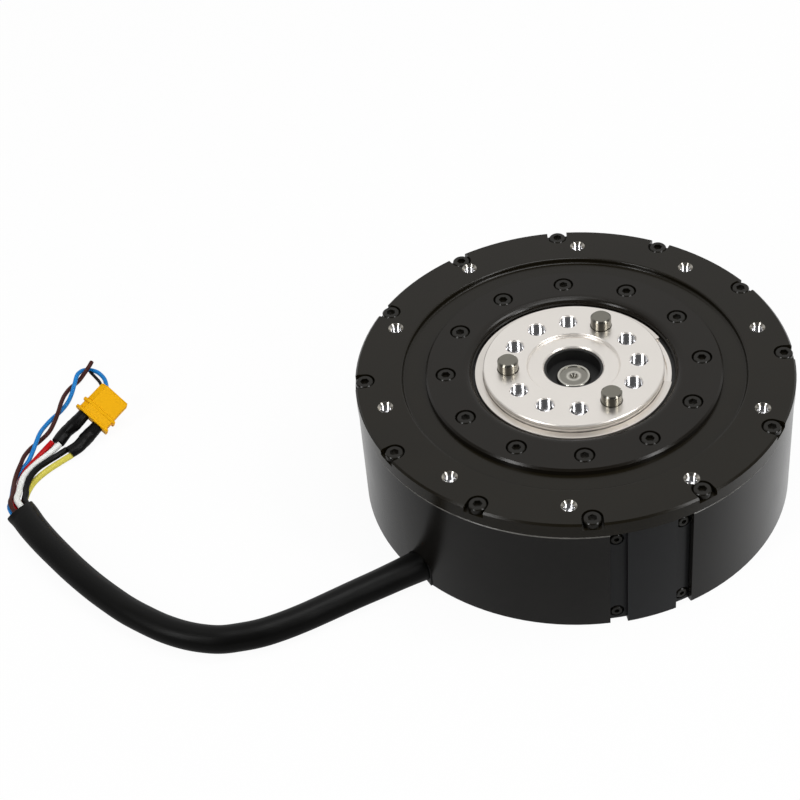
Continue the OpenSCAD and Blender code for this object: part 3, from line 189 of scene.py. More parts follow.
def run_length(path: np.ndarray) -> np.ndarray:
    """The distance of each point of a path from its start."""
    return np.concatenate([[0], np.cumsum(np.linalg.norm(np.diff(path, axis=0), axis=1))])


def nearest(wanted: np.ndarray, known: np.ndarray) -> np.ndarray:
    """For each wanted value, which known value lies nearest."""
    return np.abs(wanted[:, None] - known[None]).argmin(1)


def level_frame(path: np.ndarray) -> tuple[np.ndarray, np.ndarray, np.ndarray]:
    """Directions along, beside and above each point of a path that lies nearly level.

    Args:
        path: The middle line.

    Returns:
        The tangent t, the side s = z x t, and t x s, each of unit length.
    """
    t = np.gradient(path, axis=0)
    t /= np.linalg.norm(t, axis=1, keepdims=True)
    s = np.cross([0, 0, 1], t)
    s /= np.linalg.norm(s, axis=1, keepdims=True)
    return t, s, np.cross(t, s)


def swept(
    path: np.ndarray,
    wide: np.ndarray,
    high: np.ndarray,
    sides: int,
    ripple: np.ndarray | float = 0.0,
) -> np.ndarray:
    """Ellipses along a path: p + a (1 + ripple) cos(t) side + b (1 + ripple) sin(t) above.

    Args:
        path: The middle line.
        wide: The half width at each point.
        high: The half height at each point.
        sides: Points round each ellipse.
        ripple: Added share of the radius, as one number or as (ring, point round it).

    Returns:
        The rings as (ring, point round it, xyz).
    """
    t = full_turn(sides)
    _, side, above = level_frame(path)
    grow = 1 + np.broadcast_to(np.asarray(ripple, float), (len(path), sides))
    across = (wide[:, None] * np.cos(t) * grow)[:, :, None] * side[:, None]
    upward = (high[:, None] * np.sin(t) * grow)[:, :, None] * above[:, None]
    return path[:, None] + across + upward


def rimmed(
    path: np.ndarray, radii: Sequence[np.ndarray], bevel: float
) -> tuple[np.ndarray, list[np.ndarray]]:
    """Rounds both rims of a sweep: a quarter circle takes each radius in by the bevel.

    Args:
        path: The middle line.
        radii: The radii at each point, one array for each direction.
        bevel: The radius of the quarter circle, which replaces the points nearer to an end.

    Returns:
        The path and the radii with the rims' rings added.
    """
    a = np.radians([0, 30, 60, 90])
    shift, drop, clear = bevel * (1 - np.cos(a)), bevel * (1 - np.sin(a)), 1.2 * bevel
    t, _, _ = level_frame(path)
    run = run_length(path)
    inner = (run > clear) & (run < run[-1] - clear)
    head = path[0] + shift[:, None] * t[0]
    tail = (path[-1] - shift[:, None] * t[-1])[::-1]
    grown = [np.concatenate([r[0] - drop, r[inner], (r[-1] - drop)[::-1]]) for r in radii]
    return np.concatenate([head, path[inner], tail]), grown


# Shader graphs


@dataclass
class Graph:
    """Adds nodes to one node tree and joins their sockets."""

    tree: bpy.types.NodeTree

    def node(
        self, kind: str, inputs: dict | None = None, **settings: object
    ) -> bpy.types.Node:
        """Adds a node.

        Args:
            kind: The node's type name.
            inputs: Values or sockets for its inputs, by name or number.
            settings: Properties to set on it.

        Returns:
            The node.
        """
        made = self.tree.nodes.new(kind)
        for key, value in settings.items():
            setattr(made, key, value)
        for key, value in (inputs or {}).items():
            if isinstance(value, Socket):
                self.tree.links.new(value, made.inputs[key])
            else:
                made.inputs[key].default_value = value
        return made

    def math(self, operation: str, *values: object, clamp: bool = False) -> Socket:
        """Adds a Math node.

        Args:
            operation: The operation's name.
            values: Up to three numbers or sockets.
            clamp: Whether the result stays between 0 and 1.

        Returns:
            Its result.
        """
        inputs = dict(enumerate(values))
        made = self.node("ShaderNodeMath", inputs, operation=operation, use_clamp=clamp)
        return made.outputs[0]

    def mix(self, share: Socket, low: object, high: object, kind: str = "FLOAT") -> Socket:
        """Adds a Mix node: low (1 - share) + high share.

        Args:
            share: How much of the second there is.
            low: What a share of 0 gives.
            high: What a share of 1 gives.
            kind: FLOAT for numbers or RGBA for colours.

        Returns:
            Its result.
        """
        inputs = {"Factor": share, "A": low, "B": high}
        return self.node("ShaderNodeMix", inputs, data_type=kind).outputs["Result"]

    def ease(
        self, value: Socket, span: tuple[float, float], levels: tuple[float, float]
    ) -> Socket:
        """Goes from one level to another by a smoothstep while a value crosses a span.

        Args:
            value: What is read.
            span: Where it starts and ends.
            levels: What it gives before and after.

        Returns:
            The level.
        """
        inputs = {"Value": value, "From Min": span[0], "From Max": span[1],
                  "To Min": levels[0], "To Max": levels[1]}
        made = self.node("ShaderNodeMapRange", inputs, interpolation_type="SMOOTHSTEP")
        return made.outputs["Result"]

    def noise(self, vector: Socket, size: object, detail: float) -> Socket:
        """Adds a 3-D noise whose blotches are about one size across, each octave 0.55 as strong.

        Args:
            vector: Where it is read, in metres.
            size: The size in metres, as a number or a socket.
            detail: How many finer octaves it has.

        Returns:
            A value around 0.5.
        """
        scale = self.math("DIVIDE", 1.0, size)
        inputs = {"Vector": vector, "Scale": scale, "Detail": detail, "Roughness": 0.55}
        return self.node("ShaderNodeTexNoise", inputs).outputs["Fac"]

    def split(self, vector: Socket) -> Sequence[Socket]:
        """The x, y and z of a vector."""
        return self.node("ShaderNodeSeparateXYZ", {0: vector}).outputs

    def distance(self, a: Socket, b: Socket) -> Socket:
        """The length of (a, b), which is sqrt(a^2 + b^2)."""
        squares = [self.math("POWER", value, 2.0) for value in (a, b)]
        return self.math("SQRT", self.math("ADD", *squares))

    def radius_and_height(self, vector: Socket) -> tuple[Socket, Socket]:
        """A place's distance from the Z axis, and its z."""
        x, y, z = self.split(vector)
        return self.distance(x, y), z


def empty_graph(owner: bpy.types.Material | bpy.types.World) -> Graph:
    """Gives a material or a world an empty node tree.

    Args:
        owner: The material or the world.

    Returns:
        The graph of its tree.
    """
    owner.use_nodes = True
    owner.node_tree.nodes.clear()
    return Graph(owner.node_tree)


def mottle(graph: Graph, given: Given) -> Socket:
    """Colour times (1 + amount (2 noise - 1)), with blotches of the given size.

    Args:
        graph: The group's graph.
        given: Its inputs.

    Returns:
        The colour.
    """
    blotch = graph.noise(given["Vector"], given["Size"], detail=5.0)
    swing = graph.math("MULTIPLY_ADD", blotch, 2.0, -1.0)
    gain = graph.math("MULTIPLY_ADD", swing, given["Amount"], 1.0)
    inputs = {0: given["Color"], "Scale": gain}
    return graph.node("ShaderNodeVectorMath", inputs, operation="SCALE").outputs[0]


def grain(graph: Graph, given: Given) -> Socket:
    """A noise of the given size, times its depth."""
    fine = graph.noise(given["Vector"], given["Size"], detail=3.0)
    return graph.math("MULTIPLY", fine, given["Depth"])


def turning(graph: Graph, given: Given) -> Socket:
    """Rings round the Z axis: a noise of (radius + drift z) / pitch, times its depth.

    Args:
        graph: The group's graph.
        given: Its inputs.

    Returns:
        The height.
    """
    drift = 0.7
    radius, z = graph.radius_and_height(given["Vector"])
    place = graph.math("ADD", radius, graph.math("MULTIPLY", z, drift))
    steps = graph.math("DIVIDE", place, given["Pitch"])
    inputs = {"W": steps, "Scale": 1.0, "Detail": 2.0}
    rings = graph.node("ShaderNodeTexNoise", inputs, noise_dimensions="1D")
    return graph.math("MULTIPLY", rings.outputs["Fac"], given["Depth"])


def smudge(graph: Graph, given: Given) -> Socket:
    """Roughness plus amount (noise - 0.5), where fingers and cloths have been.

    Args:
        graph: The group's graph.
        given: Its inputs.

    Returns:
        The roughness.
    """
    blotch = graph.noise(given["Vector"], given["Size"], detail=4.0)
    swing = graph.math("MULTIPLY", graph.math("SUBTRACT", blotch, 0.5), given["Amount"])
    return graph.math("ADD", given["Roughness"], swing, clamp=True)


def painted_edge_mask(graph: Graph, given: Given) -> Socket:
    """1 along a circular edge, falling to 0 over the given width, broken up by a fine noise: it
    places a painted highlight line where its colour is pale and a painted shade line where it is
    dark.

    Args:
        graph: The group's graph.
        given: Its inputs.

    Returns:
        The mask.
    """
    patch, gain, least = 4 * MM, 1.6, 0.1
    radius, z = graph.radius_and_height(given["Vector"])
    off = (graph.math("SUBTRACT", radius, given["Radius"]),
           graph.math("SUBTRACT", z, given["Height"]))
    away = graph.math("DIVIDE", graph.distance(*off), given["Width"])
    near = graph.math("SUBTRACT", 1.0, away, clamp=True)
    noise = graph.noise(given["Vector"], patch, detail=4.0)
    broken = graph.math("MULTIPLY_ADD", noise, gain, least)
    return graph.math("MULTIPLY", near, broken, clamp=True)


def streaks(graph: Graph, given: Given) -> Socket:
    """Long marks that follow a drawn cable: a noise that is stretched along V.

    Args:
        graph: The group's graph.
        given: Its inputs.

    Returns:
        The height.
    """
    marks_per_metre = 60.0
    u, v, _ = graph.split(given["UV"])
    turn = graph.math("MULTIPLY", u, 2 * math.pi)
    around = {
        0: graph.math("MULTIPLY", graph.math("COSINE", turn), given["Count"]),
        1: graph.math("MULTIPLY", graph.math("SINE", turn), given["Count"]),
        2: graph.math("MULTIPLY", v, marks_per_metre),
    }
    place = graph.node("ShaderNodeCombineXYZ", around).outputs[0]
    marks = graph.node("ShaderNodeTexNoise", {"Vector": place, "Scale": 1.0, "Detail": 3.0})
    return graph.math("MULTIPLY", marks.outputs["Fac"], given["Depth"])


def flanks(graph: Graph, given: Given) -> Socket:
    """A height that falls with z, so a fine thread's wall shines like its upper flanks."""
    z = graph.split(given["Vector"])[2]
    return graph.math("MULTIPLY", graph.math("MULTIPLY", z, -1.0), given["Tilt"])


def side_cut(graph: Graph, given: Given) -> Socket:
    """Roughness plus more (1 - |normal z|): a lathe leaves upright walls duller than faces.

    Args:
        graph: The group's graph.
        given: Its inputs.

    Returns:
        The roughness.
    """
    normal = graph.node("ShaderNodeNewGeometry").outputs["Normal"]
    upright = graph.math("SUBTRACT", 1.0, graph.math("ABSOLUTE", graph.split(normal)[2]))
    more = graph.math("MULTIPLY", upright, given["More"])
    return graph.math("ADD", given["Roughness"], more, clamp=True)


@dataclass(frozen=True)
class Plan:
    """A shader group: its name, its inputs, its output, and the function that joins them."""

    name: str
    inputs: tuple[str, ...]
    output: str
    join: Callable[[Graph, Given], Socket]


class Effect(Enum):
    """The shader groups, each built once."""

    MOTTLE = Plan("Mottled colour", ("Vector", "Color", "Size", "Amount"), "Color", mottle)
    GRAIN = Plan("Fine grain", ("Vector", "Size", "Depth"), "Height", grain)
    TURNING = Plan("Turning marks", ("Vector", "Pitch", "Depth"), "Height", turning)
    SMUDGE = Plan(
        "Handling smudges", ("Vector", "Roughness", "Size", "Amount"), "Roughness", smudge
    )
    # Paints a line along a circular edge: a painted highlight when its colour is pale, painted
    # shade when it is dark.
    PAINTED_EDGE = Plan("Painted edge highlight and shade", ("Vector", "Radius", "Height", "Width"), "Mask", painted_edge_mask)
    STREAKS = Plan("Drawn streaks", ("UV", "Count", "Depth"), "Height", streaks)
    FLANKS = Plan("Thread flanks", ("Vector", "Tilt"), "Height", flanks)
    SIDE_CUT = Plan("Side cut", ("Roughness", "More"), "Roughness", side_cut)


SOCKET_KINDS = {"Vector": "Vector", "UV": "Vector", "Color": "Color"}


@dataclass
class EffectLibrary:
    """Builds the shader groups and places them in materials."""

    built: dict[Effect, bpy.types.NodeTree] = field(default_factory=dict)

    def get(self, effect: Effect) -> bpy.types.NodeTree:
        """Gives one group, and builds it the first time.

        Args:
            effect: Which group.

        Returns:
            Its node tree.
        """
        if effect not in self.built:
            plan = effect.value
            tree = bpy.data.node_groups.new(plan.name, "ShaderNodeTree")
            ways = [(label, "INPUT") for label in plan.inputs] + [(plan.output, "OUTPUT")]
            for label, way in ways:
                kind = f"NodeSocket{SOCKET_KINDS.get(label, 'Float')}"
                tree.interface.new_socket(name=label, in_out=way, socket_type=kind)
            graph = Graph(tree)
            result = plan.join(graph, graph.node("NodeGroupInput").outputs)
            graph.node("NodeGroupOutput", {plan.output: result})
            self.built[effect] = tree
        return self.built[effect]

    def place(self, graph: Graph, effect: Effect, **inputs: object) -> Socket:
        """Places a group in a material's graph and gives its only output."""
        return graph.node("ShaderNodeGroup", inputs, node_tree=self.get(effect)).outputs[0]


@dataclass(frozen=True)
class PaintedEdgeLine:
    """A circular edge with a painted highlight line (pale colour) or a painted shade line (dark
    colour): sizes in millimetres.
    """

    radius: float
    height: float
    width: float


@dataclass(frozen=True)
class Finish:
    """One finish: its shader's values, and in millimetres the size and depth of its marks."""

    name: str
    slot: str
    color: Color
    roughness: float
    metallic: float = 0.0
    specular: float = 0.5
    coat: float = 0.0
    coat_roughness: float = 0.12
    mottle: float = 0.08
    mottle_size: float = 12.0
    smudge: float = 0.06
    smudge_size: float = 15.0
    grain_size: float = 0.3
    grain_depth: float = 0.002
    turning_pitch: float = 0.0
    turning_depth: float = 0.0
    streak_count: float = 0.0
    streak_depth: float = 0.0
    flank_tilt: float = 0.0
    side_roughness: float = 0.0
    # The colour and the edges of painted lines: a pale colour paints a highlight, a dark one paints
    # shade.
    painted_edge_color: Color = (0.35, 0.34, 0.32)
    painted_edges: tuple[PaintedEdgeLine, ...] = ()

    def material(self, effects: EffectLibrary) -> bpy.types.Material:
        """Builds the material: groups for colour, roughness and height feed one Principled shader.

        Args:
            effects: The shader groups.

        Returns:
            The material, which is built once.
        """
        known = bpy.data.materials.get(self.name)
        if known:
            return known
        made = bpy.data.materials.new(self.name)
        graph = empty_graph(made)
        coordinates = graph.node("ShaderNodeTexCoord").outputs
        vector = coordinates["Object"]
        color = effects.place(
            graph, Effect.MOTTLE, Vector=vector, Color=(*self.color, 1),
            Size=self.mottle_size * MM, Amount=self.mottle,
        )
        # Painted edge lines: painted highlights in a pale colour, painted shade in a dark one.
        for edge in self.painted_edges:
            mask = effects.place(
                graph, Effect.PAINTED_EDGE, Vector=vector, Radius=edge.radius * MM,
                Height=edge.height * MM, Width=edge.width * MM,
            )
            color = graph.mix(mask, color, (*self.painted_edge_color, 1), "RGBA")
        rough = effects.place(
            graph, Effect.SMUDGE, Vector=vector, Roughness=self.roughness,
            Size=self.smudge_size * MM, Amount=self.smudge,
        )
        if self.side_roughness:
            rough = effects.place(graph, Effect.SIDE_CUT, Roughness=rough, More=self.side_roughness)
        bump = graph.node(
            "ShaderNodeBump",
            {"Height": self.height(graph, effects, coordinates), "Distance": 1.0, "Strength": 1.0},
        )
        shader = graph.node(
            "ShaderNodeBsdfPrincipled",
            {"Base Color": color, "Roughness": rough, "Metallic": self.metallic,
             "Specular IOR Level": self.specular, "Coat Weight": self.coat,
             "Coat Roughness": self.coat_roughness, "Normal": bump.outputs["Normal"]},
        )
        graph.node("ShaderNodeOutputMaterial", {"Surface": shader.outputs[0]})
        return made

    def height(self, graph: Graph, effects: EffectLibrary, coordinates: Given) -> Socket:
        """Adds up the heights of the marks that this finish has.

        Args:
            graph: The material's graph.
            effects: The shader groups.
            coordinates: The outputs of its Texture Coordinate node.

        Returns:
            The height in metres.
        """
        vector, uv = coordinates["Object"], coordinates["UV"]
        marks = [
            (Effect.TURNING, self.turning_depth * MM,
             {"Vector": vector, "Pitch": self.turning_pitch * MM}),
            (Effect.STREAKS, self.streak_depth * MM, {"UV": uv, "Count": self.streak_count}),
        ]
        total = effects.place(
            graph, Effect.GRAIN, Vector=vector, Size=self.grain_size * MM,
            Depth=self.grain_depth * MM,
        )
        for effect, depth, inputs in marks:
            if depth:
                mark = effects.place(graph, effect, Depth=depth, **inputs)
                total = graph.math("ADD", total, mark)
        if self.flank_tilt:
            thread = effects.place(graph, Effect.FLANKS, Vector=vector, Tilt=self.flank_tilt)
            total = graph.math("ADD", total, thread)
        return total


@dataclass(frozen=True)
class Anodised(Finish):
    """Turned aluminium with a black anodised skin."""

    turning_pitch: float = 0.5
    turning_depth: float = 0.0012
    mottle: float = 0.2
    smudge: float = 0.1
    grain_size: float = 0.25


@dataclass(frozen=True)
class Metal(Finish):
    """A bare metal."""

    metallic: float = 1.0


@dataclass(frozen=True)
class Insulation(Finish):
    """A wire's drawn plastic."""

    mottle_size: float = 3.0
    streak_count: float = 1.2
    streak_depth: float = 0.02


class Look(Enum):
    """The finishes of the real joint."""

    # The pale line along the housing's top edge is a painted highlight.
    HOUSING = Anodised(
        "Black anodised housing", "housing", (0.0062, 0.0056, 0.0048), 0.24, specular=0.26,
        mottle=0.25, painted_edges=(PaintedEdgeLine(67.45, 38.25, 0.7),), painted_edge_color=(0.42, 0.41, 0.38),
    )
    COVER = Anodised(
        "Black anodised cover", "cover", (0.0076, 0.006, 0.003), 0.23, specular=0.245,
        turning_depth=0.001, smudge=0.08,
    )
    INNER_COVER = Anodised(
        "Black anodised inner cover", "cover", (0.0086, 0.007, 0.0048), 0.22, specular=0.245,
        turning_pitch=0.4,
    )
    SIDE_COVER = Finish(
        "Black moulded side cover", "housing", (0.0078, 0.0082, 0.009), 0.36, specular=0.26,
        mottle=0.15, smudge=0.08, grain_size=0.35, grain_depth=0.004,
    )
    # The dark lines on the disc's side wall are painted shade, one in a fine groove and one in the
    # gap at the retaining ring.
    FLANGE = Metal(
        "Turned bright flange", "flange", (0.83, 0.79, 0.74), 0.3, mottle=0.03, smudge=0.08,
        turning_pitch=0.4, turning_depth=0.0018, grain_size=0.4, grain_depth=0.0008,
        side_roughness=0.34, painted_edges=(PaintedEdgeLine(28, 42.2, 0.35), PaintedEdgeLine(28, 43.35, 0.22)),
        painted_edge_color=(0.24, 0.22, 0.2),
    )
    THREAD = Metal(
        "Bare tapped aluminium", "flange", (0.82, 0.82, 0.84), 0.16, mottle=0.05,
        flank_tilt=0.9, grain_depth=0.006,
    )
    SINK = Metal("Bare countersink", "flange", (0.4, 0.38, 0.34), 0.2, mottle=0.05)
    DOWEL = Metal(
        "Ground pin steel", "pin_steel", (0.22, 0.21, 0.18), 0.22, mottle_size=3.0,
        grain_size=0.15, grain_depth=0.003,
    )
    # The dark line at the ring's inner edge, beside the flange disc, is painted shade in the gap; a
    # second dark line runs along its outer lower edge.
    RING = Metal(
        "Bright spring steel", "ring_steel", (0.74, 0.7, 0.65), 0.3, mottle=0.05,
        turning_pitch=0.25, turning_depth=0.002, side_roughness=0.3,
        painted_edges=(PaintedEdgeLine(30.6, 41.3, 0.4), PaintedEdgeLine(28.1, 42.1, 0.3)),
        painted_edge_color=(0.2, 0.18, 0.16),
    )
    BLACK_SCREW = Finish(
        "Black oxide screw", "black_screw", (0.007, 0.006, 0.004), 0.24, specular=0.28,
        mottle=0.2, mottle_size=2.0, grain_size=0.15, grain_depth=0.004,
    )
    PLAIN_SCREW = Metal("Plain steel screw", "plain_screw", (0.5, 0.5, 0.5), 0.3)
    BEARING = Metal(
        "Bearing steel", "bearing_steel", (0.62, 0.62, 0.64), 0.16, mottle=0.04,
        turning_pitch=0.2, turning_depth=0.001,
    )
    GEAR = Metal(
        "Hobbed gear steel", "gear_steel", (0.46, 0.46, 0.47), 0.3, mottle=0.1,
        mottle_size=4.0, turning_pitch=0.3, turning_depth=0.002,
    )
    # The pale rings at the rim and round the middle of the shaft's end are painted highlights.
    SHAFT = Metal(
        "Faced shaft steel", "gear_steel", (0.27, 0.26, 0.23), 0.24, mottle=0.05,
        mottle_size=4.0, turning_pitch=0.9, turning_depth=0.02,
        painted_edges=(PaintedEdgeLine(4.9, 39.9, 0.8), PaintedEdgeLine(1.9, 39.65, 0.7)),
        painted_edge_color=(0.66, 0.64, 0.58),
    )
    BRONZE = Metal(
        "Sintered bronze", "bronze", (0.55, 0.38, 0.18), 0.4, mottle=0.15, mottle_size=1.0,
        grain_size=0.2, grain_depth=0.01,
    )
    BELL = Metal(
        "Turned rotor steel", "bell_steel", (0.4, 0.4, 0.42), 0.32, turning_pitch=0.3,
        turning_depth=0.002,
    )
    MAGNET = Metal("Nickel plated magnet", "magnet", (0.58, 0.58, 0.57), 0.2, mottle=0.05)
    STATOR = Metal(
        "Stator laminations", "stator_steel", (0.22, 0.22, 0.24), 0.4, mottle=0.12,
        mottle_size=2.0, grain_size=0.35, grain_depth=0.02,
    )
    COPPER = Metal(
        "Enamelled copper", "copper", (0.55, 0.2, 0.07), 0.28, metallic=0.9, mottle=0.2,
        mottle_size=0.8, grain_size=0.6, grain_depth=0.12, coat=0.4,
    )
    BOARD = Finish(
        "Solder mask", "board", (0.012, 0.07, 0.03), 0.3, mottle=0.3, mottle_size=4.0,
        grain_size=0.8, grain_depth=0.01, coat=0.3,
    )
    CHIPS = Finish(
        "Moulded board parts", "chips", (0.02, 0.02, 0.021), 0.5, mottle=0.3, mottle_size=3.0
    )
    SEAL = Finish(
        "Black seal rubber", "seal", (0.006, 0.006, 0.006), 0.5, specular=0.4, mottle=0.2,
        grain_depth=0.006,
    )
    CABLE = Finish(
        "Black cable jacket", "cable", (0.002, 0.002, 0.0018), 0.4, specular=0.13, mottle=0.25,
        mottle_size=6.0, smudge=0.12, smudge_size=8.0, grain_size=0.45, grain_depth=0.005,
        streak_count=2.0, streak_depth=0.1,
    )
    SHRINK = Finish(
        "Black shrink sleeve", "shrink", (0.0022, 0.002, 0.0019), 0.38, specular=0.13,
        mottle=0.25, mottle_size=2.0, smudge=0.15, smudge_size=3.0, grain_size=0.5,
        grain_depth=0.01, streak_count=1.5, streak_depth=0.05,
    )
    WHITE = Insulation(
        "White insulation", "white", (0.85, 0.86, 0.83), 0.36, specular=0.3, mottle=0.03
    )
    RED = Insulation(
        "Red insulation", "red", (0.46, 0.004, 0.006), 0.36, specular=0.13, mottle=0.1
    )
    BLACK = Insulation(
        "Black insulation", "black", (0.003, 0.003, 0.003), 0.36, specular=0.12, mottle=0.2,
        streak_depth=0.03,
    )
    YELLOW = Insulation(
        "Yellow insulation", "yellow", (0.62, 0.55, 0.08), 0.36, specular=0.2, mottle=0.05
    )
    BLUE = Insulation(
        "Blue insulation", "blue", (0.01, 0.2, 0.56), 0.34, specular=0.2, mottle=0.14
    )
    BROWN = Insulation(
        "Brown insulation", "brown", (0.052, 0.013, 0.01), 0.42, specular=0.12, mottle=0.2
    )
    AMBER = Finish(
        "Amber moulded plastic", "amber", (0.82, 0.41, 0.003), 0.55, specular=0.08,
        mottle=0.03, mottle_size=5.0, grain_size=0.5, grain_depth=0.003,
    )
    CONTACT = Metal("Gold plated contact", "contact", (0.9, 0.62, 0.25), 0.2, mottle=0.05)
    STRANDS = Metal(
        "Copper strands", "copper", (0.62, 0.27, 0.1), 0.3, mottle=0.15, mottle_size=0.4
    )


# Pieces


def add_object(name: str, data: bpy.types.ID) -> bpy.types.Object:
    """Makes an object of a mesh, a lamp or a camera and puts it in the scene.

    Args:
        name: The object's name.
        data: What it shows.

    Returns:
        The object.
    """
    made = bpy.data.objects.new(name, data)
    bpy.context.scene.collection.objects.link(made)
    return made


@dataclass
class Workshop:
    """Makes pieces from shells and keeps count of them."""

    effects: EffectLibrary
    made: list[str] = field(default_factory=list)

    def piece(
        self, name: str, shell: Shell, look: Look, body: str = "body", crease: float = 35
    ) -> bpy.types.Object:
        """Makes a mesh object that rides on a body.

        Args:
            name: The piece's name.
            shell: Its surface in millimetres.
            look: Its finish.
            body: The CAD body that carries it.
            crease: The angle in degrees above which an edge stays sharp.

        Returns:
            The object, which sits at the origin.
        """
        mesh = bpy.data.meshes.new(name)
        faces = [f for part in shell.faces for f in part.tolist()]
        mesh.from_pydata((shell.points * MM).tolist(), [], faces)
        layer = mesh.uv_layers.new(name="UVMap")
        corner_uvs = np.concatenate([uv.reshape(-1, 2) for uv in shell.uvs])
        layer.data.foreach_set("uv", corner_uvs.astype(np.float32).ravel())
        mesh.shade_smooth()
        mesh.set_sharp_from_angle(angle=math.radians(crease))
        mesh.materials.append(look.value.material(self.effects))
        made = add_object(name, mesh)
        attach(made, body)
        self.made.append(name)
        LOG.info("%s: %d faces, %s", name, len(mesh.polygons), look.value.name)
        return made


class FarEnd(Enum):
    """What a cord ends in."""

    BARE = "bare"
    CONNECTOR = "connector"


@dataclass
class Wire:
    """One wire of the cable.

    It starts (across, up) from the middle of the cable's end face, or on its own where it has no
    start there.
    """

    node: str
    look: Look
    diameter: float
    start: tuple[float, float] | None
    route: Sequence[Point]
    far_end: FarEnd
    strands: bool = False


@dataclass
class CableRun:
    """The cable from the housing to its wires' ends, with the connector.

    A swell is what the jacket's half width gains at an end, and how far along that fades.
    """

    jacket: Sequence[Point] = (
        (-51, -43.4, 5.1), (-58, -47, 5.1), (-64, -50, 5), (-70, -53, 5), (-76, -56, 4.9),
        (-82, -59, 4.8), (-88, -62, 4.8), (-94, -64.5, 4.7), (-100, -66.5, 4.7),
        (-106, -67.5, 4.6), (-112, -68, 4.6), (-118, -67, 4.6), (-124, -65, 4.6),
        (-130, -62, 4.6), (-136, -58, 4.6), (-142, -53.5, 4.6), (-148, -48, 4.6),
        (-154, -42, 4.6), (-159, -36.5, 4.6), (-164, -30.5, 4.6), (-170, -23, 4.6),
        (-175, -16, 4.6), (-178.5, -10.5, 4.6), (-181, -7, 4.6),
    )
    jacket_diameter: float = 9.0
    jacket_half: float = 4.3
    root_swell: tuple[float, float] = (0.7, 14)
    mouth_swell: tuple[float, float] = (0.65, 24)
    floor_gap: float = 0.03
    wave: float = 0.006
    wave_lobes: int = 3
    wave_twist: float = 0.11
    wave_beat: float = 0.21
    jacket_rim: float = 0.15
    jacket_wall: float = 1.1
    jacket_recess: float = 2.6
    jacket_slant: float = 1.4
    jacket_lean: float = 3.2
    cut_reach: float = 7.0
    lip_size: float = 1.05
    jacket_sides: int = 40
    jacket_steps: int = 10
    wire_sides: int = 20
    wire_steps: int = 8
    wire_depth: float = 1.0
    wire_rim: float = 0.12
    strand_radius: float = 0.1
    strand_reach: tuple[float, ...] = (-0.6, -0.3, 0.05)
    strand_sides: int = 8
    wires: list[Wire] = field(default_factory=list)

    def __post_init__(self) -> None:
        """Lists the wires, in the colours of the photograph's cable."""
        power, signal = 2.1, 1.5
        self.wires = [
            Wire("wire_dark", Look.BLACK, 1.1, None, (
                (-165, 62.6, 0.6), (-162.9, 59.6, 0.6), (-161, 56.6, 0.6), (-159.6, 52.8, 0.6),
            ), FarEnd.BARE, strands=True),
            Wire("wire_white", Look.WHITE, power, (0.5, 1.7), (
                (-181.5, -4.3, 6), (-181.7, 0.1, 5), (-181.9, 4.7, 4), (-181.4, 9.1, 3.5),
                (-179.8, 13.6, 2.6), (-177.4, 17.4, 2.2), (-174.4, 20.8, 2.2), (-171, 24, 3.2),
            ), FarEnd.CONNECTOR),
            Wire("wire_red", Look.RED, power, (-0.9, -0.6), (
                (-182.4, -5, 3.8), (-182.8, -0.2, 2.7), (-183, 4.8, 1.9), (-182.9, 9.6, 1.3),
                (-181.6, 14.4, 1.2), (-179.2, 18.8, 1.2), (-176.4, 22.8, 1.8),
                (-173.6, 25.4, 3.2),
            ), FarEnd.CONNECTOR),
            Wire("wire_black", Look.BLACK, power, (2.7, 0.4), (
                (-179.4, -3, 4.2), (-179.8, 1.1, 3.4), (-180.2, 5, 3), (-179.4, 8.9, 3.2),
                (-177.6, 12.9, 3.0), (-174.8, 16.6, 2.4), (-171.8, 19.4, 2.2), (-168.6, 22, 2.4),
            ), FarEnd.CONNECTOR),
            Wire("wire_yellow", Look.YELLOW, power, (1.4, -1.8), (
                (-180.8, -3.4, 2), (-180.5, 1, 1.2), (-179.8, 5.2, 1.1), (-178.1, 9.3, 1.1),
                (-175, 13.2, 1.2), (-171, 16.7, 1.4), (-166.6, 19.6, 2),
            ), FarEnd.CONNECTOR),
            Wire("wire_blue", Look.BLUE, signal, (-3, -0.2), (
                (-184.1, -6.2, 4.2), (-184.5, -2, 3.2), (-184.8, 2.2, 2.2), (-185.2, 6.4, 1.2),
                (-185, 10.8, 0.8), (-183.6, 14.8, 0.8), (-181.6, 18.6, 1.2), (-180.4, 22.8, 1.8),
                (-179.4, 27, 2.6), (-178.8, 31.2, 2.2), (-177.8, 35.4, 1.2), (-175.8, 39.2, 1),
                (-173.4, 42.8, 0.8), (-171.4, 46.6, 1), (-170.2, 50.8, 1.4), (-169.4, 55, 2.4),
                (-168.8, 59, 2.8), (-167.4, 62.2, 1.8), (-165.2, 63.4, 0.8), (-162.2, 61.8, 0.8),
                (-159.6, 58.2, 0.8), (-158.4, 54, 0.8), (-157.8, 49.6, 0.8),
            ), FarEnd.BARE, strands=True),
            Wire("wire_brown", Look.BROWN, signal, (-2.4, 1.7), (
                (-183.5, -5.8, 6.2), (-183.6, -1.4, 5.3), (-184, 3, 4.3), (-184.4, 7.4, 3.3),
                (-184.2, 12, 2.8), (-183.6, 16.4, 2.4), (-183, 20.8, 1.8), (-181.4, 25, 1.2),
                (-178.8, 28.8, 0.8), (-176.2, 32.6, 1), (-174.6, 36.6, 1.8), (-173.6, 41, 2.4),
                (-173.2, 45.6, 2.2), (-172.6, 50, 1.6), (-171.2, 54.2, 1), (-168.6, 58, 0.8),
                (-166.4, 60.6, 2.2), (-165, 62.8, 3), (-164.2, 65, 3.2),
            ), FarEnd.BARE, strands=True),
        ]

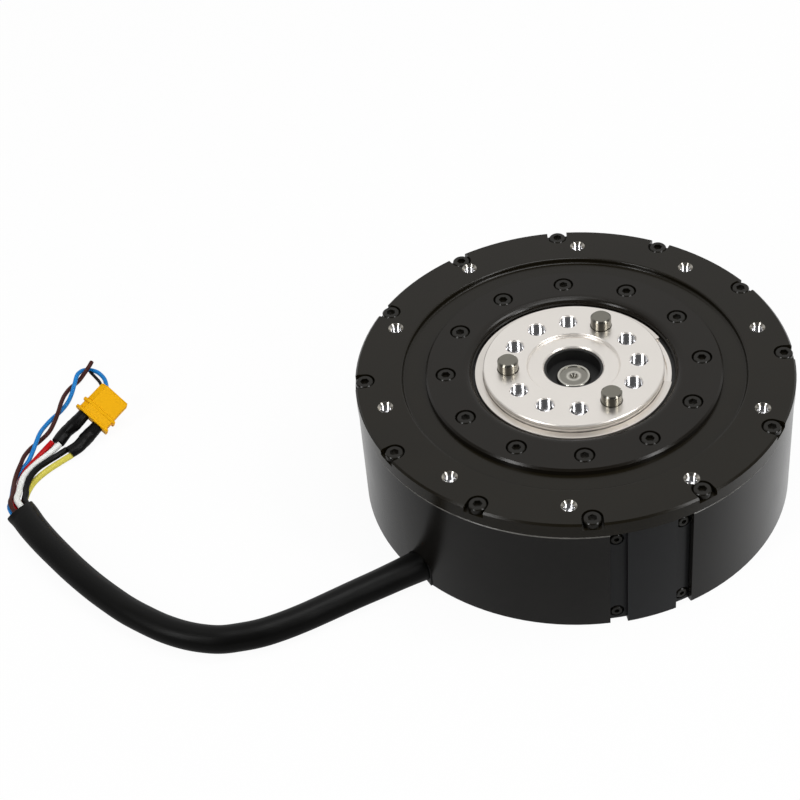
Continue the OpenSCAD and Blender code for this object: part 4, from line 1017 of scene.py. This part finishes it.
    def end_direction(self) -> np.ndarray:
        """The unit vector out of the jacket's end."""
        a, b = np.array(self.jacket[-2], float), np.array(self.jacket[-1], float)
        return (b - a) / np.linalg.norm(b - a)

    def wire_points(self, wire: Wire) -> np.ndarray:
        """A wire's route with its start in the jacket's mouth.

        Args:
            wire: The wire.

        Returns:
            Its points, the first one inside the jacket's mouth.
        """
        route = np.array(wire.route, float)
        if wire.start is None:
            return route
        out = self.end_direction()
        across, up = wire.start
        seat = np.array(self.jacket[-1], float) + [across * out[1], -across * out[0], up]
        deep = self.jacket_recess + self.jacket_slant / 2 + self.wire_depth
        return np.concatenate([[seat - deep * out], route])

    def build(self, shop: Workshop, connector: Connector) -> None:
        """Args:
            shop: Where the pieces are made.
            connector: The connector on the power wires.
        """
        self.build_jacket(shop)
        plug = connector.build(shop)
        left, right = (sleeve.build(shop, connector) for sleeve in SHRINK_SLEEVES)
        riders = {
            "wire_white": [left, plug], "wire_red": [left, plug],
            "wire_black": [right, plug], "wire_yellow": [right, plug],
        }
        for wire in self.wires:
            made, path = self.build_wire(shop, wire)
            if wire.start is None:
                riders["wire_blue"] = [made]
                continue
            riders.get(wire.node, [])

    def build_jacket(self, shop: Workshop) -> None:
        """Makes the jacket: thicker at the housing and at its cut end, with a hollow mouth.

        With s the distance along it, L its length and t the angle round it, the half width is
        half + root exp(-s / reach) + mouth exp(-(L - s) / reach). The half height is kept to what
        lies on the floor, and both wave by sin(lobes t + twist s) sin(beat s). The end is cut at a
        slant, slant (1 + cos t) / 2 + lean max(sin t, 0), which fades over the cut's reach.

        Args:
            shop: Where the piece is made.
        """
        path = smooth_route(self.jacket, self.jacket_steps)
        run = run_length(path)
        (root, root_reach), (mouth, mouth_reach) = self.root_swell, self.mouth_swell
        at_root, at_mouth = np.exp(-run / root_reach), np.exp(-(run[-1] - run) / mouth_reach)
        wide = self.jacket_half + root * at_root + mouth * at_mouth
        high = np.minimum(wide, path[:, 2] - self.floor_gap)
        turn = full_turn(self.jacket_sides)
        lobes = np.sin(self.wave_lobes * turn[None] + self.wave_twist * run[:, None])
        wave = self.wave * lobes * np.sin(self.wave_beat * run)[:, None]
        path_r, (wide_r, high_r) = rimmed(path, (wide, high), self.jacket_rim)
        run_r = run_length(path_r)
        outer = swept(path_r, wide_r, high_r, self.jacket_sides, wave[nearest(run_r, run)])
        out = self.end_direction()
        late = np.clip((run_r - run_r[-1] + self.cut_reach) / self.cut_reach, 0, 1)
        slant = self.jacket_slant * (1 + np.cos(turn)) / 2
        cut = slant + self.jacket_lean * np.maximum(np.sin(turn), 0)
        outer = outer - (late[:, None] * cut)[:, :, None] * out
        rim = outer[-1]
        inside = self.lip_size - self.jacket_wall / wide[-1]
        lip = rim.mean(0) + (rim - rim.mean(0)) * inside
        rings = np.concatenate([outer, lip[None], (lip - self.jacket_recess * out)[None]])
        floor = path_r[-1] - self.jacket_recess * out
        along = run_length(np.concatenate([path_r, [path_r[-1]], [floor]]))
        made = shop.piece("cable_jacket", skin(rings, along * MM), Look.CABLE)
        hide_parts("cable_sleeve")

    def build_wire(self, shop: Workshop, wire: Wire) -> tuple[bpy.types.Object, np.ndarray]:
        """Makes one wire with rounded rims, and copper strands in its cut end.

        Args:
            shop: Where the piece is made.
            wire: The wire.

        Returns:
            The piece and its middle line.
        """
        path = smooth_route(self.wire_points(wire), self.wire_steps)
        radius = np.full(len(path), wire.diameter / 2)
        path_r, (wide, high) = rimmed(path, (radius, radius), wire.diameter * self.wire_rim)
        shell = skin(swept(path_r, wide, high, self.wire_sides), run_length(path_r) * MM)
        colour = wire.node.removeprefix("wire_")
        made = shop.piece(f"lead_{colour}", shell, wire.look)
        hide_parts(wire.node)
        if wire.strands:
            strands = self.strand_shell(path, wire.diameter)
            shop.piece(f"strands_{colour}", strands, Look.STRANDS).parent = made
        return made, path

    def strand_shell(self, path: np.ndarray, diameter: float) -> Shell:
        """Seven fine strands that just show in a wire's cut end.

        Args:
            path: The wire's middle line.
            diameter: The wire's diameter.

        Returns:
            The strands, one in the middle and six round it.
        """
        t, side, above = level_frame(path)
        r = diameter * self.strand_radius
        angles = np.radians(np.arange(6) * 60)
        ring = 2 * r * np.stack([np.cos(angles), np.sin(angles)], 1)
        shells = []
        for a, b in np.concatenate([[[0, 0]], ring]):
            middle = path[-1] + a * side[-1] + b * above[-1]
            line = middle + np.array(self.strand_reach)[:, None] * t[-1]
            radius = np.full(len(line), r)
            rings = swept(line, radius, radius, self.strand_sides)
            shells.append(skin(rings, run_length(line) * MM))
        return join_shells(shells)


@dataclass
class Connector:
    """The two-pin power connector.

    Its own frame has x forward from the back face, y to the left and z up from the underside.
    """

    at: Point = (-161.4, 33.3, 4.0)
    roll: float = 36.4
    pitch: float = -18.2
    heading: float = 44.1
    width: float = 11.6
    thickness: float = 5.8
    length: float = 12.0
    flange_width: float = 13.8
    key: float = 2.0
    inner_key: float = 1.5
    step: float = 0.35
    step_round: float = 0.1
    pin_pitch: float = 6.0
    mouth_depth: float = 8.5
    wall: float = 1.3
    edge_round: float = 0.35
    arc_steps: int = 4
    crease: float = 28

    def to_object(self, points: np.ndarray | Sequence[Sequence[float]]) -> np.ndarray:
        """Turns points from the connector's frame to the object's.

        Args:
            points: Points as (..., xyz).

        Returns:
            Rz(heading) Ry(pitch) Rx(roll) p + at.
        """
        turn = (
            Matrix.Rotation(math.radians(self.heading), 3, "Z")
            @ Matrix.Rotation(math.radians(self.pitch), 3, "Y")
            @ Matrix.Rotation(math.radians(self.roll), 3, "X")
        )
        return np.asarray(points, float) @ np.array(turn).T + self.at

    def outline(self, width: float, thickness: float, key: float) -> np.ndarray:
        """A rectangle in y and z with two keyed corners on its left, every corner rounded.

        The upper keyed face lies a small step below the top face. Each corner is an arc between
        its two edges, (1 - s)^2 p0 + 2 s (1 - s) corner + s^2 p1.

        Args:
            width: Its size along y.
            thickness: Its size along z, about the middle of the body's thickness.
            key: The bevel of the keyed corners.

        Returns:
            Points as (n, 2), anticlockwise as seen from the front.
        """
        w, t, fine, coarse = width / 2, thickness / 2, self.step_round, self.edge_round
        corners = np.array([
            [-w, -t], [w - key, -t], [w, key - t], [w, t - key], [w - key + fine, t - self.step],
            [w - key, t], [-w, t],
        ])
        rounds = np.array([coarse, coarse, coarse, coarse, fine, fine, coarse])[:, None]
        before, after = np.roll(corners, 1, 0) - corners, np.roll(corners, -1, 0) - corners
        to_before = before / np.linalg.norm(before, axis=1, keepdims=True)
        to_after = after / np.linalg.norm(after, axis=1, keepdims=True)
        s = np.linspace(0, 1, self.arc_steps + 1)[None, :, None]
        p0, p1 = corners + rounds * to_before, corners + rounds * to_after
        bend = 2 * s * (1 - s) * corners[:, None]
        arcs = (1 - s) ** 2 * p0[:, None] + bend + s**2 * p1[:, None]
        return arcs.reshape(-1, 2) + [0, self.thickness / 2]

    def body_shell(self) -> Shell:
        """Lofts the outlines from the back flange to the mouth's rim and down to its floor.

        Each station is (place, width, thickness, key). Tenths of a millimetre between neighbours
        round the edges of the flange, of the collar in front of it and of the mouth.

        Returns:
            The connector's shell in the object's frame.
        """
        w, t, k, f, end = self.width, self.thickness, self.key, self.flange_width, self.length
        iw, it, ik = w - 2 * self.wall, t - 2 * self.wall, self.inner_key
        stations = [
            (0.0, f - 0.4, t + 0.4, k), (0.2, f, t + 0.8, k), (0.8, f, t + 0.8, k),
            (1.0, f - 0.3, t + 0.5, k), (1.15, w + 0.3, t + 0.35, k), (3.5, w + 0.3, t + 0.3, k),
            (3.62, f - 0.5, t + 0.5, k), (3.8, f - 0.2, t + 0.6, k), (4.4, f - 0.2, t + 0.6, k),
            (4.58, f - 0.5, t + 0.4, k), (4.7, w + 0.04, t + 0.04, k),
            (end - 0.55, w - 0.04, t - 0.04, k), (end, w - 0.8, t - 0.8, k),
            (end, iw + 0.4, it + 0.4, ik), (end - 0.2, iw, it, ik),
            (end - self.mouth_depth, iw - 0.2, it - 0.2, ik),
        ]
        flat = np.stack([self.outline(*s[1:]) for s in stations])
        x = np.array([s[0] for s in stations])
        places = np.broadcast_to(x[:, None, None], flat.shape[:2] + (1,))
        return skin(self.to_object(np.concatenate([places, flat], 2)), x * MM)

    def build(self, shop: Workshop) -> bpy.types.Object:
        """Makes the connector.

        Args:
            shop: Where the piece is made.

        Returns:
            The piece.
        """
        made = shop.piece("connector_shell", self.body_shell(), Look.AMBER, crease=self.crease)
        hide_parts("power_connector")
        return made


class Side(Enum):
    """A side of the connector, as seen from it looking forward."""

    LEFT = 1
    RIGHT = -1


@dataclass(frozen=True)
class ShrinkSleeve:
    """A shrink sleeve behind the connector: flat round two wires, full at the solder cup.

    Each half size is its size at the wires, what it gains to the end, and what the cup adds.
    """

    side: Side
    start: tuple[Point, Point]
    half_width: Point = (2.35, -0.2, 0.35)
    half_height: Point = (1.85, 0.2, 0.15)
    cup_at: float = 0.55
    cup_reach: float = 0.24
    cup_power: float = 1.3
    cup_length: float = 4.5
    seat_depth: float = 0.1
    lumps: float = 0.035
    lump_twist: float = 9
    creases: float = 0.02
    crease_pitch: float = 34
    rim: float = 0.25
    sides: int = 28
    steps: int = 14

    def build(self, shop: Workshop, connector: Connector) -> bpy.types.Object:
        """Makes the sleeve.

        With s the share of its length and t the angle round it, the cup is
        exp(-|(s - at) / reach|^power). The radius has lumps of sin(2 t + twist s) sin(pi s), and
        creases of sin(pitch s + 2 cos t) where the cup is.

        Args:
            shop: Where the piece is made.
            connector: The connector that it runs into.

        Returns:
            The piece.
        """
        y, z = self.side.value * connector.pin_pitch / 2, connector.thickness / 2
        exits = connector.to_object([[-self.cup_length, y, z], [self.seat_depth, y, z]])
        path = smooth_route(np.concatenate([np.array(self.start), exits]), self.steps)
        length = run_length(path)[-1]
        run = run_length(path) / length
        cup = np.exp(-np.abs((run - self.cup_at) / self.cup_reach) ** self.cup_power)
        wide, high = (a + b * run + c * cup for a, b, c in (self.half_width, self.half_height))
        turn, s = full_turn(self.sides)[None], run[:, None]
        lumps = self.lumps * np.sin(2 * turn + self.lump_twist * s) * np.sin(math.pi * s)
        folds = np.sin(self.crease_pitch * s + 2 * np.cos(turn))
        creases = self.creases * folds * cup[:, None]
        path_r, (wide_r, high_r) = rimmed(path, (wide, high), self.rim)
        ripple = (lumps + creases)[nearest(run_length(path_r) / length, run)]
        rings = swept(path_r, wide_r, high_r, self.sides, ripple)
        side = self.side.name.lower()
        made = shop.piece(f"shrink_{side}", skin(rings, run_length(path_r) * MM), Look.SHRINK)
        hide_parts(f"heat_shrink_{side}")
        return made


SHRINK_SLEEVES = (
    ShrinkSleeve(Side.LEFT, ((-171.9, 24.6, 3.2), (-169.3, 28.6, 4.2))),
    ShrinkSleeve(Side.RIGHT, ((-167.6, 20.3, 2.5), (-164.6, 22.6, 2.9))),
)


@dataclass(frozen=True)
class TappedHoles:
    """Bare metal that lines a ring of tapped holes, and their countersinks."""

    name: str
    body: str
    angles: tuple[float, ...]
    circle: float
    radius: float
    top: float
    depth: float = 7.0
    sink: float = 0.0
    inner_gap: float = 0.05
    outer_gap: float = 0.01
    lift: float = 0.01
    rim_wall: float = 0.04
    sides: int = 48

    def build(self, shop: Workshop) -> None:
        """Makes a thin sleeve inside each hole and a thin cone in each countersink.

        Args:
            shop: Where the pieces are made.
        """
        inner, outer = self.radius - self.inner_gap, self.radius - self.outer_gap
        low, rim, neck = self.top - self.depth, self.top + self.sink, self.top + self.lift
        sleeve = [(inner, self.top), (inner, low), (outer, low), (outer, self.top)]
        self.ring(shop, f"{self.name}_threads", sleeve, Look.THREAD)
        if self.sink:
            wide = outer + self.sink
            cone = [(wide - self.rim_wall, rim), (inner, neck), (outer, neck), (wide, rim)]
            self.ring(shop, f"{self.name}_mouths", cone, Look.SINK)

    def ring(
        self, shop: Workshop, name: str, profile: Sequence[tuple[float, float]], look: Look
    ) -> None:
        """Turns one section in every hole, as one piece.

        Args:
            shop: Where the piece is made.
            name: The piece's name.
            profile: Points (radius, height) about the hole's own axis.
            look: Its finish.
        """
        shells = [
            turned(profile, self.sides, (self.circle * math.cos(a), self.circle * math.sin(a)))
            for a in np.radians(self.angles)
        ]
        shop.piece(name, join_shells(shells), look, self.body)


PIN_ANGLES = (60, 180, 300)
SCREW_ANGLES = tuple(a for a in range(0, 360, 30) if a not in PIN_ANGLES)
TAPPED_HOLES = (
    TappedHoles("mount_hole", "body", tuple(range(12, 372, 36)), 60.0, 1.65, 42.75, sink=0.74),
    TappedHoles("flange_hole", "output", SCREW_ANGLES, 20.25, 2.8, 44.2),
)


@dataclass
class CadFinishes:
    """Which CAD nodes get each finish."""

    nodes: dict[Look, tuple[str, ...]] = field(
        default_factory=lambda: {
            Look.HOUSING: ("housing", "rear_cover"),
            Look.SIDE_COVER: ("side_cover",),
            Look.COVER: ("front_cover",),
            Look.INNER_COVER: ("inner_cover",),
            Look.BLACK_SCREW: (
                "rim_screws", "inner_cover_screws", "rear_cover_screws", "side_cover_screws",
                "ring_gear_screws", "carrier_screws",
            ),
            Look.PLAIN_SCREW: ("board_screws",),
            Look.GEAR: (
                "ring_gear", "planet_carrier", "planet_gear_1", "planet_gear_2", "planet_gear_3",
            ),
            Look.SHAFT: ("sun_shaft",),
            Look.BRONZE: ("planet_bush_1", "planet_bush_2", "planet_bush_3"),
            Look.STATOR: ("stator_core",),
            Look.COPPER: ("stator_windings",),
            Look.BLUE: ("phase_leads",),
            Look.BEARING: (
                "planet_pins", "output_bearing_outer_ring", "output_bearing_inner_ring",
                "output_bearing_rollers", "rear_bearing_outer_ring", "rear_bearing_inner_ring",
                "rear_bearing_balls", "nose_bearing_outer_ring", "nose_bearing_inner_ring",
                "nose_bearing_balls",
            ),
            Look.SEAL: ("output_seal", "nose_bearing_seal", "cable_gland"),
            Look.BOARD: ("circuit_board",),
            Look.CHIPS: ("board_components",),
            Look.CONTACT: ("connector_pins",),
            Look.FLANGE: ("output_flange",),
            Look.DOWEL: ("dowel_pins",),
            Look.RING: ("retaining_ring",),
            Look.BELL: ("rotor_bell",),
            Look.MAGNET: ("rotor_magnets", "encoder_magnet"),
        }
    )

    def dress(self, frame: dict, effects: EffectLibrary) -> None:
        """Gives each CAD node its finish.

        Args:
            effects: The shader groups.
        """
        for look, names in self.nodes.items():
            for name in names:
                materials = frame["nodes"][name].data.materials
                materials.clear()
                materials.append(look.value.material(effects))
                LOG.info("%s: %s", name, look.value.name)


# Studio


@dataclass(frozen=True)
class Softbox:
    """A rectangular lamp that points at the object: lengths in metres, power in watts."""

    name: str
    place: Point
    size: tuple[float, float]
    power: float
    target: Point = (0.0, 0.0, 0.03)

    def hang(self) -> None:
        """Hangs the softbox."""
        data = bpy.data.lights.new(self.name, "AREA")
        data.shape, data.energy = "RECTANGLE", self.power
        data.size, data.size_y = self.size
        lamp = add_object(self.name, data)
        lamp.location = self.place
        aim = Vector(self.target) - Vector(self.place)
        lamp.rotation_euler = aim.to_track_quat("-Z", "Y").to_euler()


@dataclass
class Studio:
    """The camera at the photograph's place, the lamps, the surroundings and the floor.

    The camera's place is in millimetres. The floor's lengths and the camera's clip are in metres.
    """

    camera_at: Point = (-31.27, -461.10, 457.27)
    camera_right: Point = (0.99693, -0.01912, -0.07594)
    camera_up: Point = (0.06885, 0.67607, 0.73361)
    lens: float = 89.70
    sensor: float = 36.0
    clip: tuple[float, float] = (0.01, 20.0)
    surroundings: float = 0.2
    sweep: float = 0.84
    sweep_span: tuple[float, float] = (-0.3, 0.55)
    room: float = 0.08
    floor_half: float = 3.0
    floor_drop: float = 0.0002
    floor_white: float = 0.95
    floor_front: float = 0.4
    floor_span: tuple[float, float] = (-0.09, 0.01)
    floor_slant: float = 0.4
    paper: float = 0.9
    softboxes: tuple[Softbox, ...] = (
        Softbox("softbox_left", (-0.95, -0.75, 0.85), (0.2, 0.9), 7.5),
        Softbox("softbox_right", (0.95, -0.65, 0.85), (0.2, 0.9), 6.5),
        Softbox("softbox_top", (0.2, 0.0, 1.45), (0.9, 0.6), 7.5),
        Softbox("softbox_high", (0.75, 0.1, 1.15), (0.3, 0.4), 3.0),
    )

    def build(self) -> None:
        """Builds the whole studio."""
        self.place_camera()
        self.light_world()
        for box in self.softboxes:
            box.hang()
        self.lay_floor()

    def place_camera(self) -> None:
        """Makes the camera from its place and its right and up directions."""
        right = Vector(self.camera_right).normalized()
        up = Vector(self.camera_up)
        back = right.cross(up).normalized()
        up = back.cross(right)
        data = bpy.data.cameras.new("camera")
        data.lens, data.sensor_width, data.sensor_fit = self.lens, self.sensor, "AUTO"
        data.clip_start, data.clip_end = self.clip
        camera = add_object("camera", data)
        turn = Matrix((right, up, back)).transposed().to_4x4()
        camera.matrix_world = Matrix.Translation(Vector(self.camera_at) * MM) @ turn
        bpy.context.scene.camera = camera

    def light_world(self) -> None:
        """A plain level on dull surfaces, white to the camera, and a studio to gloss.

        Gloss sees a white sweep behind the object and a dim room in front of it. In the world a
        ray's position is its direction, whose y eases from the one to the other.
        """
        world = bpy.data.worlds.new("studio")
        graph = empty_graph(world)
        ray = graph.node("ShaderNodeLightPath").outputs
        direction = graph.node("ShaderNodeNewGeometry").outputs["Position"]
        behind = graph.ease(graph.split(direction)[1], self.sweep_span, (self.room, self.sweep))
        gloss = graph.mix(ray["Is Glossy Ray"], self.surroundings, behind)
        seen = graph.math("MAXIMUM", ray["Is Camera Ray"], ray["Is Transmission Ray"])
        level = graph.mix(seen, gloss, 1.0)
        sky = graph.node("ShaderNodeBackground", {"Color": (1, 1, 1, 1), "Strength": level})
        graph.node("ShaderNodeOutputWorld", {"Surface": sky.outputs[0]})
        bpy.context.scene.world = world

    def lay_floor(self) -> None:
        """Lays a pale floor that keeps a soft shadow and shows white beyond it.

        To gloss it eases from a dim front to white, by slant x + y.
        """
        half = self.floor_half
        mesh = bpy.data.meshes.new("floor")
        square = [(-half, -half), (half, -half), (half, half), (-half, half)]
        mesh.from_pydata([(x, y, -self.floor_drop) for x, y in square], [], [(0, 1, 2, 3)])
        material = bpy.data.materials.new("White paper floor")
        graph = empty_graph(material)
        ray = graph.node("ShaderNodeLightPath").outputs
        seen = graph.math("MAXIMUM", ray["Is Camera Ray"], ray["Is Glossy Ray"])
        x, y, _ = graph.split(graph.node("ShaderNodeTexCoord").outputs["Object"])
        place = graph.math("MULTIPLY_ADD", x, self.floor_slant, y)
        gloss = graph.ease(place, self.floor_span, (self.floor_front, 1.0))
        level = graph.mix(ray["Is Camera Ray"], gloss, 1.0)
        paper = graph.node("ShaderNodeBsdfDiffuse", {"Color": (self.paper,) * 3 + (1,)})
        white = graph.node("ShaderNodeEmission", {"Color": (1, 1, 1, 1), "Strength": level})
        share = graph.math("MULTIPLY", seen, self.floor_white)
        inputs = {0: share, 1: paper.outputs[0], 2: white.outputs[0]}
        mixed = graph.node("ShaderNodeMixShader", inputs)
        graph.node("ShaderNodeOutputMaterial", {"Surface": mixed.outputs[0]})
        mesh.materials.append(material)
        add_object("floor", mesh)


def corners(box: Sequence[Sequence[float]]) -> list[list[float]]:
    """A box's two corners as plain lists."""
    return [[float(v) for v in corner] for corner in box]


def main() -> None:
    """Builds the scene in order."""
    logging.basicConfig(level=logging.INFO, format="%(message)s")
    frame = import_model()
    bpy.context.scene.view_settings.view_transform = "Standard"
    Studio().build()
    shop = Workshop(EffectLibrary())
    CableRun().build(shop, Connector())
    for holes in TAPPED_HOLES:
        holes.build(shop)
    CadFinishes().dress(frame, shop.effects)
    LOG.info("%d pieces made", len(shop.made))


if __name__ == "__main__":
    main()
